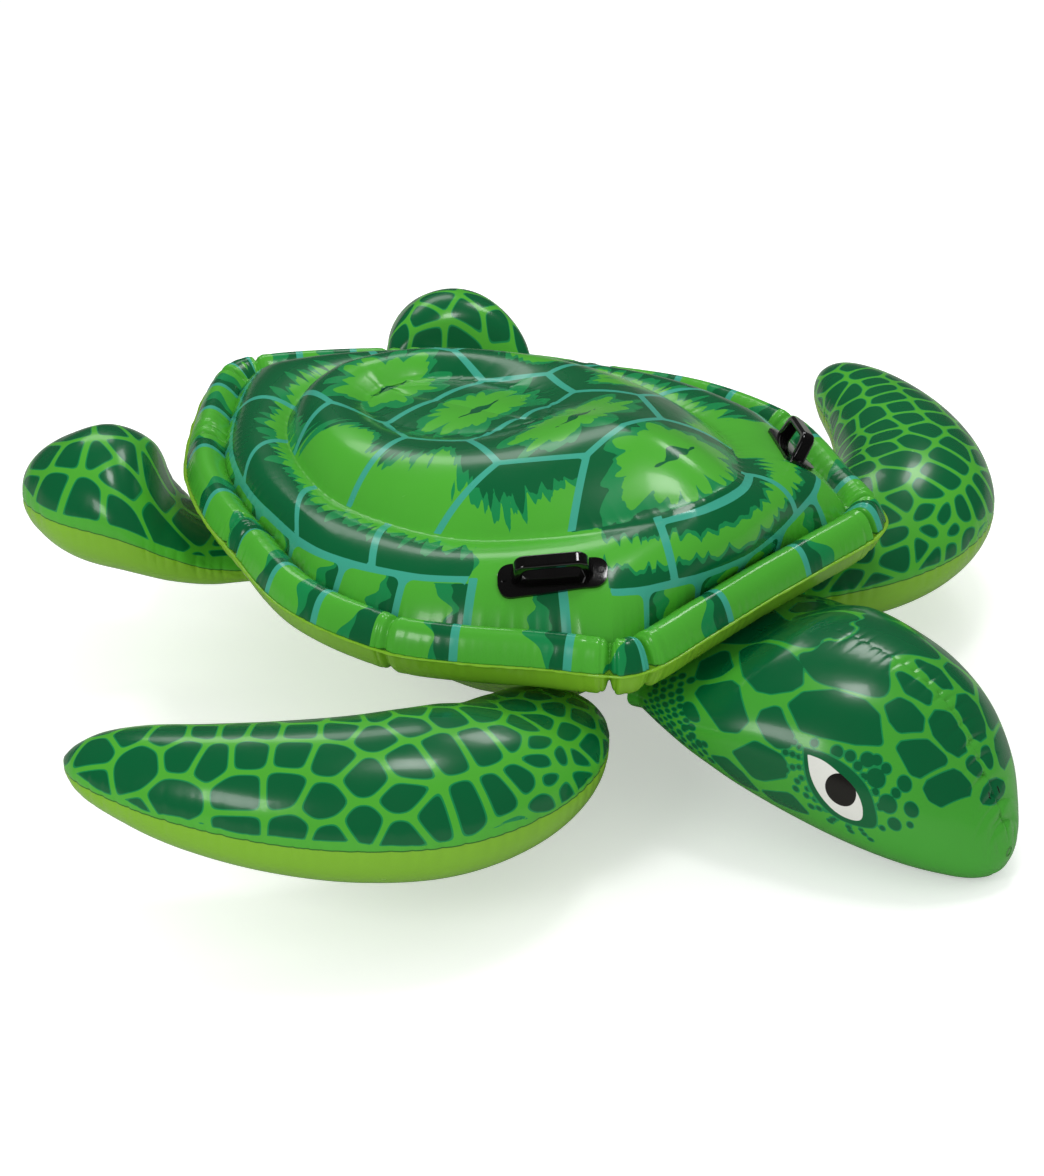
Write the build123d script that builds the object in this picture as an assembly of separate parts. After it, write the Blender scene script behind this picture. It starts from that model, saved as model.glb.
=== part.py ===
from build123d import *
import os
import numpy as np

# Inflatable ride-on sea turtle.  Millimetres, +Z up, floor at z = 0.
# The origin is the point where the belly touches the floor, in the mirror plane x = 0.
# The nose points along -Y, the tail along +Y; the animal's left side is +X.

# ---------------------------------------------------------------- driving dimensions
GRADE = 0.955           # grading factor: pattern sizes times GRADE give millimetres

# millimetres
FILM = 1.2              # drawn wall of every welded film panel
SEAM_GAP = 1.2          # gap between the two head panels
FLIPPER_SEAM_GAP = 3.2  # gap between a flipper's upper and lower panels
TIP_INNER = 0.4         # inner size of a limb's last section
FLAT_PRESS = 0.35       # how far the belly dips below the floor before it is trimmed flat
WEB_TOP_GAP = 1.6       # from the film above to a web's top edge
WEB_FOOT_GAP = 2.5      # from the belly film to a web's foot, besides one FILM
OVERRUN = 2.0           # how far a half sheet runs past x = 0 before it is trimmed

# pattern sizes
RIM_WIDTH = 52          # plan width of the edge tube
RIM_BOTTOM_WIDTH = 45   # plan width of the edge tube's underside
RIM_CROWN = 27          # crown of the edge tube above its chord
RIM_BELLY = 24          # the same, underside
VALLEY_RISE = 14        # weld valley above the outer seam
BELLY_WELD_DROP = 22    # belly weld below the outer seam
BAND_CROWN = 27         # crown of the seat's outer band above its chord
DOME_CROWN = 27         # crown of the seat's inner dome above its chord
RECESS_CROWN = 8        # twice the crown given to the recess panel

# ratios and counts
RIM_LEAN = 0.15         # outward lean of the edge tube's crown
BELLY_SHAPE = 1.25      # exponent of the belly's fall; larger is fuller near the edge
ROWS = 121              # dense grid rows from the front centre to the tail
SHEET_SECTIONS = 23     # rows of a dense grid that are lofted

# handles
HANDLE_AT = (233, -253)  # left handle's centre in plan, pattern sizes
HANDLE_TOE = 42.0       # toe-in from the long axis, degrees
PLATE_LENGTH = 122.0
PLATE_WIDTH = 36.0
PLATE_THICK = 3.2
PLATE_CORNER = 15.0
PLATE_LIFT = 0.6        # base plate's underside above the band
GRIP_RISE = 31.0        # grip bar's top above the band, less the plate's thickness
GRIP_WIDTH = 17.0
GRIP_THICK = 9.0
GRIP_BEND = 14.0        # outer radius of the grip bar's two bends
GRIP_INNER_BEND = GRIP_BEND - 6
GRIP_ROUND = 3.4        # rounding of the grip bar's long edges
GRIP_TOP_HALF = 39      # half length along the bar's top
GRIP_UNDER_HALF = 30    # half length along the bar's underside
LEG_OUTER = 46.5        # outer face of a leg at the band, from the centre
LEG_INNER = 35.5        # inner face of a leg at the band
LEG_LOW = -6.0          # foot of a leg before it is trimmed
LEG_END = 1.4           # height above the band where the legs are trimmed
STUD_R = 3.6            # moulded stud at each end of the base plate
STUD_AT = 54.0          # stud's place along the plate, from the centre
STUD_LOW = 1.2
PATCH_MARGIN = 26       # patch length and width over those of the plate
PATCH_CORNER = 24.0
PATCH_GAP = 1.0         # between the seat film and the patch under it

# valves: heights run outwards along the axis from the belly's outer face
VALVES = {"main_valve": 395.0, "safety_valve": 300.0}   # y on the belly
VALVE_R = 9.0           # stem outer radius
FLANGE_R = 19.0
FLANGE_BORE_R = VALVE_R + 0.06
COLLAR_R = VALVE_R + 2.0
STEM_BORE_R = VALVE_R - 2.8
STEM_LIP_R = VALVE_R + 3.0
VALVE_INNER_END = -16.0
PLUG_R = 7.0            # plug cap
PLUG_PIN_R = 4.4
HOLE_R = VALVE_R + 2.3  # hole in the belly film

# ---------------------------------------------------------------- pattern tables
# Welds, +X half, from the front centre to the tail: x, y, z
OUTER_SEAM = [
    (0, -398, 250), (120, -400, 250), (212, -402, 251), (258, -390, 252), (284, -362, 254),
    (318, -305, 255), (370, -228, 256), (404, -163, 257), (416, -100, 258), (419, -38, 259),
    (413, 20, 260), (397, 73, 261), (362, 156, 262), (330, 236, 263), (297, 298, 264),
    (264, 350, 265), (220, 401, 266), (172, 447, 267), (122, 490, 268), (70, 531, 268),
    (25, 557, 268), (0, 561, 268)]
DOME_WELD = [
    (0, -322, 368), (40, -312, 362), (105, -268, 347), (178, -196, 332), (232, -110, 320),
    (254, 0, 315), (249, 90, 313), (212, 185, 313), (150, 278, 314), (78, 335, 315),
    (0, 358, 316)]
RECESS_WELD = [
    (0, -41, 382), (28, -28, 376), (66, 12, 364), (93, 70, 354), (97, 128, 348),
    (80, 188, 344), (45, 230, 341), (0, 246, 339)]

# Flipper stations, root to tip: x, y, seam z, half width, height above seam, depth below it
FRONT_FLIPPER = [
    (205, -205, 112, 56, 20, 40), (244, -240, 130, 76, 46, 60), (290, -272, 144, 93, 55, 76),
    (346, -293, 152, 107, 62, 85), (412, -300, 157, 114, 80, 88), (480, -286, 161, 115, 88, 88),
    (546, -246, 167, 108, 85, 86), (606, -187, 173, 96, 78, 80), (657, -116, 179, 79, 67, 70),
    (692, -49, 184, 62, 53, 55), (716, -2, 187, 42, 36, 37), (726, 22, 188, 22, 19, 19),
    (730, 33, 188, 6, 6, 6)]
REAR_FLIPPER = [
    (212, 290, 162, 58, 36, 32), (252, 330, 180, 80, 18, 50), (284, 364, 208, 98, 22, 70),
    (310, 398, 236, 108, 76, 86), (334, 442, 243, 101, 90, 86), (350, 491, 243, 78, 72, 68),
    (357, 526, 243, 49, 46, 44), (361, 546, 243, 23, 21, 21), (362, 554, 243, 6, 6, 6)]

# Head stations, neck to nose: y, z of the widest point, half width, top z, bottom z
HEAD = [
    (-330, 156, 165, 200, 112), (-365, 158, 176, 203, 92), (-400, 156, 180, 207, 70),
    (-432, 150, 177, 226, 53), (-465, 145, 173, 240, 38), (-520, 136, 162, 244, 20),
    (-590, 122, 146, 234, 7), (-650, 104, 122, 207, 1), (-695, 85, 92, 158, 0.6),
    (-722, 64, 62, 117, 3), (-741, 48, 34, 82, 14), (-748, 45, 14, 60, 30),
    (-750, 45, 6, 51, 39)]

# Limb: stations, weld ring length, gap left at the flexing weld.
# The rear roots are steeper and need more room.
FLIPPERS = {"front": (FRONT_FLIPPER, 16.0, 6.0), "rear": (REAR_FLIPPER, 11.0, 11.0)}
NECK_RING_LENGTH = 8.0
NECK_GAP = 6.0
RING_FLARE = 4          # growth of a weld ring from its mouth to its inner end


# ---------------------------------------------------------------- curves and grids
def smooth(stations, count):
    """Centripetal Catmull-Rom curve through stations, resampled evenly along its length."""
    knots = np.asarray(stations, float)
    knots = np.vstack([2 * knots[0] - knots[1], knots, 2 * knots[-1] - knots[-2]])
    t = np.linspace(0, 1, 40, endpoint=False)[:, None]
    spans = []
    for i in range(1, len(knots) - 2):
        before, start, end, after = knots[i - 1:i + 3]
        gap1, gap2, gap3 = (np.linalg.norm(b - a) ** 0.5 + 1e-9
                            for a, b in ((before, start), (start, end), (end, after)))
        slope1 = ((start - before) / gap1 - (end - before) / (gap1 + gap2)
                  + (end - start) / gap2) * gap2
        slope2 = ((end - start) / gap2 - (after - start) / (gap2 + gap3)
                  + (after - end) / gap3) * gap2
        spans.append((2*t**3 - 3*t**2 + 1) * start + (t**3 - 2*t**2 + t) * slope1
                     + (-2*t**3 + 3*t**2) * end + (t**3 - t**2) * slope2)
    curve = np.vstack(spans + [knots[-2][None]])
    length = np.r_[0, np.cumsum(np.linalg.norm(np.diff(curve, axis=0), axis=1))]
    places = np.linspace(0, length[-1], count)
    return np.array([np.interp(places, length, column) for column in curve.T]).T


def unit(vectors):
    return vectors / np.linalg.norm(vectors, axis=-1, keepdims=True)


def offset_seam(seam, inward, width, rise):
    """The outer seam moved inwards in plan and upwards, kept on the +X side."""
    line = seam.copy()
    line[:, :2] += inward * width
    line[:, 2] += rise
    line[0, 0] = line[-1, 0] = 0
    line[:, 0] = np.maximum(line[:, 0], 0)
    return line


def crowned_strip(start, end, crown, places, side):
    """Strip between two curves, bulging along side; places run 0 to 1 across it."""
    s = np.asarray(places)[None, :, None]
    bulge = crown[:, None, None] * 4 * s * (1 - s)
    return start[:, None] * (1 - s) + end[:, None] * s + side[:, None] * bulge


def up_and_out(start, end):
    """Unit direction square to each chord, upwards and outwards, and the chord lengths."""
    chord = end - start
    length = np.linalg.norm(chord, axis=1)[:, None]
    chord = chord / length
    flat = chord[:, :2]
    flat_length = np.linalg.norm(flat, axis=1)[:, None]
    return np.c_[-(flat / flat_length) * chord[:, 2:3], flat_length], length[:, 0]


def grid_normals(grid):
    normals = np.cross(np.gradient(grid, axis=0), np.gradient(grid, axis=1))
    return normals / np.maximum(np.linalg.norm(normals, axis=-1, keepdims=True), 1e-9)


# ---------------------------------------------------------------- solids from section rows
def edge(points):
    points = [Vector(*map(float, p)) for p in points]
    if len(points) == 2:
        return Edge.make_line(points[0], points[1])
    last = len(points) - 1
    return Edge.make_spline(points, parameters=[i / last for i in range(len(points))])


def film(outer, inner, breaks=None):
    """Closed solid between two grids: one section wire per row, corners at breaks."""
    breaks = breaks or [0, outer.shape[1] - 1]
    runs = list(zip(breaks[:-1], breaks[1:]))
    wires = []
    for out_row, in_row in zip(outer, inner):
        edges = [edge(out_row[a:b + 1]) for a, b in runs]
        edges.append(edge([out_row[-1], in_row[-1]]))
        edges += [edge(in_row[a:b + 1][::-1]) for a, b in reversed(runs)]
        edges.append(edge([in_row[0], out_row[0]]))
        wires.append(Wire(edges))
    return Solid.make_loft(wires)


def largest(shape):
    """The main solid of a boolean's result, which may be one shape or a list."""
    found = shape.solids() if hasattr(shape, "solids") else ShapeList(shape).solids()
    return max(found, key=lambda solid: solid.volume)


def whole(half):
    """The +X half plus its mirror image, joined on x = 0."""
    left = half.intersect(Pos(1000, 0, 0) * Box(2000, 3000, 3000))
    left = left.solids()[0]
    return largest(left.fuse(left.mirror(Plane.YZ)))


def ring_sheet(grid, facing, breaks=None, closed=False):
    """Film on a dense half grid, mirrored whole.

    The first and last rows lie on x = 0, and so does the last column if closed.
    facing is +1 or -1; the film grows against the grid's normal times facing.
    """
    normals = grid_normals(grid) * facing
    normals[0, :, 0] = normals[-1, :, 0] = 0
    if closed:
        normals[:, -1] = (0, 0, np.sign(normals[ROWS // 2, -1, 2]))
    normals /= np.maximum(np.linalg.norm(normals, axis=-1, keepdims=True), 1e-9)
    outer, inner = grid.copy(), grid - normals * FILM
    for face in (outer, inner):
        face[0, :, 0] = face[-1, :, 0] = -OVERRUN
        if closed:
            face[:, -1, 0] = -OVERRUN
    rows = np.unique(np.round(np.linspace(0, ROWS - 1, SHEET_SECTIONS)).astype(int))
    return whole(film(outer[rows], inner[rows], breaks))


# ---------------------------------------------------------------- shell weld lines
def shell_lines():
    """Outer seam, valley weld, belly weld, dome weld, recess weld; inward plan direction."""
    seam = smooth(OUTER_SEAM, ROWS)
    along = unit(np.gradient(seam[:, :2], axis=0))
    inward = np.c_[-along[:, 1], along[:, 0]]
    inward[0], inward[-1] = (0, 1), (0, -1)
    lines = (seam,
             offset_seam(seam, inward, RIM_WIDTH, VALLEY_RISE),
             offset_seam(seam, inward, RIM_BOTTOM_WIDTH, -BELLY_WELD_DROP),
             smooth(DOME_WELD, ROWS),
             smooth(RECESS_WELD, ROWS))
    return [line * GRADE for line in lines] + [inward]


SEAM, VALLEY, BELLY_EDGE, DOME, RECESS, INWARD = shell_lines()
ROW_SHARE = np.linspace(0, 1, ROWS)


# ---------------------------------------------------------------- shell grids
def centre_line(y_values):
    """Points on x = 0, z = 0 where the grid rows end; y_values are pattern sizes."""
    line = np.zeros((ROWS, 3))
    line[:, 1] = np.interp(ROW_SHARE, [0, 0.15, 0.85, 1], y_values) * GRADE
    return line


def top_grid(band_points=7, dome_points=7, recess_points=5):
    """Seat from the valley to the centre line: outer band, dome, recess; and its breaks."""
    side, chord = up_and_out(VALLEY, DOME)
    crown = np.minimum(BAND_CROWN * GRADE, chord * 0.34)
    band = crowned_strip(VALLEY, DOME, crown, np.linspace(0.008, 1, band_points), side)
    side, chord = up_and_out(DOME, RECESS)
    crown = np.minimum(DOME_CROWN * GRADE, chord * 0.3)
    dome = crowned_strip(DOME, RECESS, crown, np.linspace(0, 1, dome_points), side)
    middle = centre_line([-25, 10, 190, 232])
    middle[:, 2] = np.interp(ROW_SHARE, [0, 1], [372, 342]) * GRADE
    crown = np.full(ROWS, RECESS_CROWN * GRADE * 0.5)
    up = np.tile([0, 0, 1.0], (ROWS, 1))
    recess = crowned_strip(RECESS, middle, crown, np.linspace(0, 1, recess_points), up)
    breaks = [0, band_points - 1, band_points + dome_points - 2,
              band_points + dome_points + recess_points - 3]
    return np.concatenate([band, dome[:, 1:], recess[:, 1:]], axis=1), breaks


def rim_grid(inner_line, crown, up):
    """Half of the edge tube from the outer seam; up is +1 for the top, -1 for the underside."""
    side = unit(np.c_[-INWARD * RIM_LEAN, np.full(ROWS, float(up))])
    places = np.linspace(0.008, 0.992, 7)
    return crowned_strip(SEAM, inner_line, np.full(ROWS, crown * GRADE), places, side)


def belly_height(t):
    """Belly height as a share of its edge height, t running 0 to 1 inwards."""
    return 1 - np.sin(t * np.pi / 2) ** BELLY_SHAPE


BELLY_MIDDLE = centre_line([-40, -15, 50, 75])


def belly_grid(places):
    t = np.asarray(places)
    across = t[None, :, None]
    grid = np.zeros((ROWS, len(t), 3))
    grid[..., :2] = (BELLY_EDGE[:, None, :2] * (1 - across)
                     + BELLY_MIDDLE[:, None, :2] * across)
    grid[..., 2] = BELLY_EDGE[:, None, 2] * belly_height(t)[None] - FLAT_PRESS * t[None]
    return grid


def web_grid(weld):
    """Ribbon from just under a top weld line down to just above the belly film."""
    edge_xy, middle_xy = BELLY_EDGE[:, :2], BELLY_MIDDLE[:, :2]
    share = (np.linalg.norm(weld[:, :2] - middle_xy, axis=1)
             / np.linalg.norm(edge_xy - middle_xy, axis=1))
    t = np.clip(1 - share, 0.02, 0.97)
    foot = np.zeros((ROWS, 3))
    foot[:, :2] = edge_xy * (1 - t[:, None]) + middle_xy * t[:, None]
    foot[:, 2] = BELLY_EDGE[:, 2] * belly_height(t) + 2 * FILM + WEB_FOOT_GAP
    return np.stack([weld - [0, 0, FILM + WEB_TOP_GAP], foot], axis=1)


def belly_sheet():
    sheet = ring_sheet(belly_grid(np.linspace(0.004, 1, 9)), -1, closed=True)
    # what dips below the floor is trimmed off flat
    return largest(sheet.intersect(Pos(0, 0, 500) * Box(3000, 3000, 1000)))


# ---------------------------------------------------------------- flippers and head
def flipper_panel(stations, side, top):
    """Upper or lower half of a flipper: crescents square to the spine; side +1 is left."""
    spine = smooth(stations, 15) * GRADE
    dense = smooth(stations, 240) * GRADE
    along = []
    for station in spine:
        nearest = np.argmin(np.linalg.norm(dense[:, :2] - station[:2], axis=1))
        k = int(np.clip(nearest, 2, 237))
        along.append(dense[k + 2, :2] - dense[k - 2, :2])
    along = unit(np.array(along))
    across = np.c_[along[:, 1], -along[:, 0]]
    angle = np.linspace(0, np.pi, 9)
    up = 1 if top else -1

    def grid(half_width, height):
        reach = half_width[:, None] * np.cos(angle)
        x = spine[:, None, 0] - reach * across[:, None, 0]
        y = spine[:, None, 1] - reach * across[:, None, 1]
        rise = FLIPPER_SEAM_GAP / 2 + height[:, None] * np.sin(angle)
        return np.stack([x * side, y, spine[:, None, 2] + up * rise], -1)

    half_width = spine[:, 3]
    height = spine[:, 4] if top else spine[:, 5]
    inner_height = height - FILM
    inner_height[-1] = TIP_INNER
    return film(grid(half_width, height), grid(half_width - FILM, inner_height))


def head_panel(side):
    """One side of the head; side +1 is left."""
    stations = smooth(HEAD, 17) * GRADE
    angle = np.linspace(0, np.pi, 11)
    middle = stations[:, 1][:, None]

    def grid(inset):
        half_width = stations[:, 2] - inset
        top = (stations[:, 3] - inset)[:, None]
        bottom = (stations[:, 4] + inset)[:, None]
        if inset:
            half_width[-1] = TIP_INNER
        x = SEAM_GAP / 2 + half_width[:, None] * np.sin(angle)
        y = np.repeat(stations[:, :1], len(angle), 1)
        reach = np.where(np.cos(angle)[None] > 0, top - middle, middle - bottom)
        return np.stack([side * x, y, middle + reach * np.cos(angle)], -1)

    return film(grid(0), grid(FILM))


# ---------------------------------------------------------------- weld rings at the limb roots
def weld_ring(root, back, half_width, height, depth, length, gap):
    """Short flared sleeve whose mouth faces the limb's root across the flexing gap.

    back is the unit plan direction from the root into the shell.
    """
    back = np.array([*back, 0.0])
    across = np.array([back[1], -back[0], 0.0])
    angle = np.linspace(0, 2 * np.pi, 24, endpoint=False)

    def loop(shift, grow):
        reach = np.where(np.sin(angle) > 0, height + grow, depth + grow)
        points = (np.array(root) + back * (gap + shift)
                  + (half_width + grow) * np.cos(angle)[:, None] * across)
        points[:, 2] += reach * np.sin(angle)
        corners = [Vector(*map(float, p)) for p in points]
        return Wire([Edge.make_spline(corners, periodic=True)])

    outer = Solid.make_loft([loop(0, 0), loop(length, RING_FLARE)])
    inner = Solid.make_loft([loop(-0.5, -FILM), loop(length + 0.5, RING_FLARE - FILM)])
    return largest(outer.cut(inner))


def flipper_ring(stations, side, length, gap):
    root = np.array(stations[0], float) * GRADE
    out = unit((smooth(stations, 240)[3] * GRADE - root)[:2])
    return weld_ring((root[0] * side, root[1], root[2]), (-out[0] * side, -out[1]),
                     *root[3:], length, gap)


def neck_ring():
    y, z, half_width, top, bottom = np.array(HEAD[0], float) * GRADE
    return weld_ring((0, y, z), (0, 1), half_width, top - z, z - bottom,
                     NECK_RING_LENGTH, NECK_GAP)


# ---------------------------------------------------------------- handles on the outer band
CENTRE = np.array(HANDLE_AT, float) * GRADE
TOE = np.radians(HANDLE_TOE)
ALONG = np.array([-np.sin(TOE), -np.cos(TOE)])   # towards the nose and the mirror plane
ACROSS = np.array([ALONG[1], -ALONG[0]])


def points_by_handle(reach=110):
    """Fine grid points of the band and dome around the handle."""
    grid, _ = top_grid(band_points=41, dome_points=21)
    points = grid[:, :55].reshape(-1, 3)
    return points[np.hypot(points[:, 0] - CENTRE[0], points[:, 1] - CENTRE[1]) < reach]


BAND_POINTS = points_by_handle()


def drape(x, y):
    """Band height and upward unit normal at plan points, from planes fitted nearby."""
    count = 18
    heights = np.zeros_like(x)
    normals = np.zeros(x.shape + (3,))
    for i in np.ndindex(x.shape):
        dx, dy = BAND_POINTS[:, 0] - x[i], BAND_POINTS[:, 1] - y[i]
        distance2 = dx ** 2 + dy ** 2
        near = np.argsort(distance2)[:count]
        weight = 1 / (distance2[near] + 9.0)
        terms = np.c_[np.ones(count), dx[near], dy[near]]
        fit = np.linalg.lstsq(terms * weight[:, None], BAND_POINTS[near, 2] * weight,
                              rcond=None)[0]
        heights[i] = fit[0]
        normals[i] = unit(np.array([-fit[1], -fit[2], 1.0]))
    return heights, normals


def drape_point(x, y):
    heights, normals = drape(np.array([x]), np.array([y]))
    return heights[0], normals[0]


def draped_plate(length, width, corner, low, high):
    """Round-ended plate between two offsets of the band, and the band's mean normal."""
    end = length / 2
    tip = -end + corner * (1 - np.cos(np.linspace(0.12, 1, 4) * np.pi / 2))
    p = np.r_[tip, np.linspace(-end + corner, end - corner, 13)[1:-1], -tip[::-1]]
    into_corner = np.maximum(0.0, np.abs(p) - (end - corner))
    half = width / 2 - corner + np.sqrt(np.maximum(0.0, corner ** 2 - into_corner ** 2))
    q = half[:, None] * np.linspace(-1, 1, 5)[None]
    x = CENTRE[0] + p[:, None] * ALONG[0] + q * ACROSS[0]
    y = CENTRE[1] + p[:, None] * ALONG[1] + q * ACROSS[1]
    z, normals = drape(x, y)
    base = np.stack([x, y, z], -1)
    mean = unit(normals.mean(axis=(0, 1)))
    # offsets stay inside each section's upright plane, so every section is flat
    lift = unit(mean - np.array([*ALONG, 0.0]) * float(mean[:2] @ ALONG))
    slant = (normals * lift).sum(-1, keepdims=True)
    return film(base + lift * high / slant, base + lift * low / slant), mean


def grip_arch():
    """Grip bar and legs in the handle's own frame: x along it, z off the band."""
    top = GRIP_RISE + PLATE_THICK
    under = top - GRIP_THICK
    profile = [(-LEG_OUTER, LEG_LOW), (-LEG_OUTER, 0.0), (-GRIP_TOP_HALF, top),
               (GRIP_TOP_HALF, top), (LEG_OUTER, 0.0), (LEG_OUTER, LEG_LOW),
               (LEG_INNER, LEG_LOW), (LEG_INNER, 0.0), (GRIP_UNDER_HALF, under),
               (-GRIP_UNDER_HALF, under), (-LEG_INNER, 0.0), (-LEG_INNER, LEG_LOW)]
    face = Face(Wire.make_polygon([Vector(x, 0, z) for x, z in profile], close=True))
    arch = Solid.extrude(face, Vector(0, GRIP_WIDTH, 0))
    arch = arch.moved(Location((0, -GRIP_WIDTH / 2, 0)))

    def cross_edges():
        return [e for e in arch.edges() if abs(e.tangent_at(0.5).Y) > 0.9]

    outer_bends = [e for e in cross_edges() if e.center().Z > top - 0.5]
    arch = largest(arch.fillet(GRIP_BEND, outer_bends))
    inner_bends = [e for e in cross_edges()
                   if abs(e.center().Z - under) < 0.5
                   and abs(abs(e.center().X) - GRIP_UNDER_HALF) < 0.5]
    arch = largest(arch.fillet(GRIP_INNER_BEND, inner_bends))
    long_edges = [e for e in arch.edges()
                  if abs(e.tangent_at(0.5).Y) < 0.2 and e.center().Z > -4]
    return largest(arch.fillet(GRIP_ROUND, long_edges))


def on_side(solid, side):
    return solid if side > 0 else solid.mirror(Plane.YZ)


def handle(side):
    plate, normal = draped_plate(PLATE_LENGTH, PLATE_WIDTH, PLATE_CORNER,
                                 PLATE_LIFT, PLATE_LIFT + PLATE_THICK)
    z, _ = drape_point(*CENTRE)
    slope = -(normal[0] * ALONG[0] + normal[1] * ALONG[1]) / normal[2]
    base = Plane(origin=(*CENTRE, z), x_dir=(*ALONG, slope), z_dir=tuple(normal))
    arch = grip_arch().moved(base.location)
    # the legs stop inside the plate
    under, _ = draped_plate(PLATE_LENGTH + 30, PLATE_WIDTH + 30, PLATE_CORNER, -40.0, LEG_END)
    arch = largest(arch.cut(under))
    body = plate.fuse(arch)
    for place in (-STUD_AT, STUD_AT):
        x, y = CENTRE + place * ALONG
        z, stud_axis = drape_point(x, y)
        seat = Plane(origin=(x, y, z), z_dir=tuple(stud_axis))
        stud = Solid.make_cylinder(STUD_R, PLATE_THICK + 0.7, Plane((0, 0, STUD_LOW)))
        body = largest(body).fuse(stud.moved(seat.location))
    return on_side(largest(body), side)


def handle_patch(side):
    """Film patch under the seat sheet, below the handle."""
    plate, _ = draped_plate(PLATE_LENGTH + PATCH_MARGIN, PLATE_WIDTH + PATCH_MARGIN,
                            PATCH_CORNER, -(2 * FILM + PATCH_GAP), -(FILM + PATCH_GAP))
    return on_side(plate, side)


# ---------------------------------------------------------------- valves in the belly, x = 0
def valve_location(y):
    """Frame on the belly's outer face towards the tail, its z axis pointing out and down."""
    row = belly_grid(np.linspace(0, 1, 161))[-1]
    k = int(np.argmin(np.abs(row[:, 1] - y)))
    along = unit(row[k + 2] - row[k - 2])
    normal = np.array([0, along[2], -along[1]])
    if normal[2] > 0:
        normal = -normal
    return Plane(origin=tuple(row[k]), x_dir=(1, 0, 0), z_dir=tuple(normal)).location


def tube(radius, bore, low, high):
    body = Solid.make_cylinder(radius, high - low, Plane((0, 0, low)))
    if not bore:
        return body
    return body.cut(Solid.make_cylinder(bore, high - low + 2, Plane((0, 0, low - 1))))


def valve_flange():
    disc = tube(FLANGE_R, FLANGE_BORE_R, 1.1, 2.4)
    return largest(disc.fuse(tube(COLLAR_R, FLANGE_BORE_R, VALVE_INNER_END, 1.6)))


def valve_stem():
    pipe = tube(VALVE_R, STEM_BORE_R, VALVE_INNER_END, 3.0)
    return largest(pipe.fuse(tube(STEM_LIP_R, STEM_BORE_R, 2.7, 4.2)))


def valve_plug():
    """Cap, pin into the stem, and a flat tab towards +X."""
    cap = tube(PLUG_R, 0, 4.5, 6.0).fuse(tube(PLUG_PIN_R, 0, 1.8, 4.6))
    return largest(cap.fuse(Solid.make_box(9.5, 5, 1.0, Plane((4.5, -2.5, 4.6)))))


# ---------------------------------------------------------------- build and write
parts = {}
seat_grid, seat_breaks = top_grid()
parts["shell_top_sheet"] = ring_sheet(seat_grid, 1, seat_breaks, closed=True)
parts["rim_top_strip"] = ring_sheet(rim_grid(VALLEY, RIM_CROWN, 1), 1)
parts["rim_bottom_strip"] = ring_sheet(rim_grid(BELLY_EDGE, RIM_BELLY, -1), -1)
parts["web_outer_ring"] = ring_sheet(web_grid(DOME), 1)
parts["web_inner_ring"] = ring_sheet(web_grid(RECESS), 1)

belly = belly_sheet()
for name, valve_y in VALVES.items():
    location = valve_location(valve_y)
    parts[name + "_flange"] = valve_flange().moved(location)
    parts[name + "_stem"] = valve_stem().moved(location)
    parts[name + "_plug"] = valve_plug().moved(location)
    hole = Solid.make_cylinder(HOLE_R, 14, Plane((0, 0, -8)))
    belly = largest(belly.cut(hole.moved(location)))
parts["shell_bottom_sheet"] = belly

for side, word in ((1, "left"), (-1, "right")):
    parts[f"{word}_handle"] = handle(side)
    parts[f"{word}_handle_patch"] = handle_patch(side)
    parts[f"head_{word}_panel"] = head_panel(side)
    for end, (stations, ring_length, root_gap) in FLIPPERS.items():
        limb = f"{end}_{word}"
        parts[f"{limb}_flipper_top"] = flipper_panel(stations, side, top=True)
        parts[f"{limb}_flipper_bottom"] = flipper_panel(stations, side, top=False)
        parts[f"{limb}_weld_ring"] = flipper_ring(stations, side, ring_length, root_gap)
parts["neck_weld_ring"] = neck_ring()

os.makedirs("parts", exist_ok=True)
for name, solid in parts.items():
    export_step(solid, os.path.join("parts", name + ".step"))
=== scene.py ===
import math

import bpy
import numpy as np
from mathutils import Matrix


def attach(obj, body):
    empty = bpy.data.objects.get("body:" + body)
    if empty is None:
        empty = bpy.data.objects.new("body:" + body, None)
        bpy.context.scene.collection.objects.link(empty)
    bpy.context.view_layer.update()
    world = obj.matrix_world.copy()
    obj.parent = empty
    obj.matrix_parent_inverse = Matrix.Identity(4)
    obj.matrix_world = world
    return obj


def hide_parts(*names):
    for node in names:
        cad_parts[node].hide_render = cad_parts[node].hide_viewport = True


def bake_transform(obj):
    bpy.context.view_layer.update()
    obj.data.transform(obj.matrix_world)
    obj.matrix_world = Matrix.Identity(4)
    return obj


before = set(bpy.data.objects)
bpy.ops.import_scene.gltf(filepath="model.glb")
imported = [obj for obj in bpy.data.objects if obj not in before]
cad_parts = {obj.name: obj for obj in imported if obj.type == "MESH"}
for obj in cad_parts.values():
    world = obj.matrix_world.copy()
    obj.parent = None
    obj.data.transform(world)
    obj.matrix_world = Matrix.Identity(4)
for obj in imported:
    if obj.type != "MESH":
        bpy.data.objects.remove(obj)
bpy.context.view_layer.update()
RNG = np.random.default_rng(20)

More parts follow.
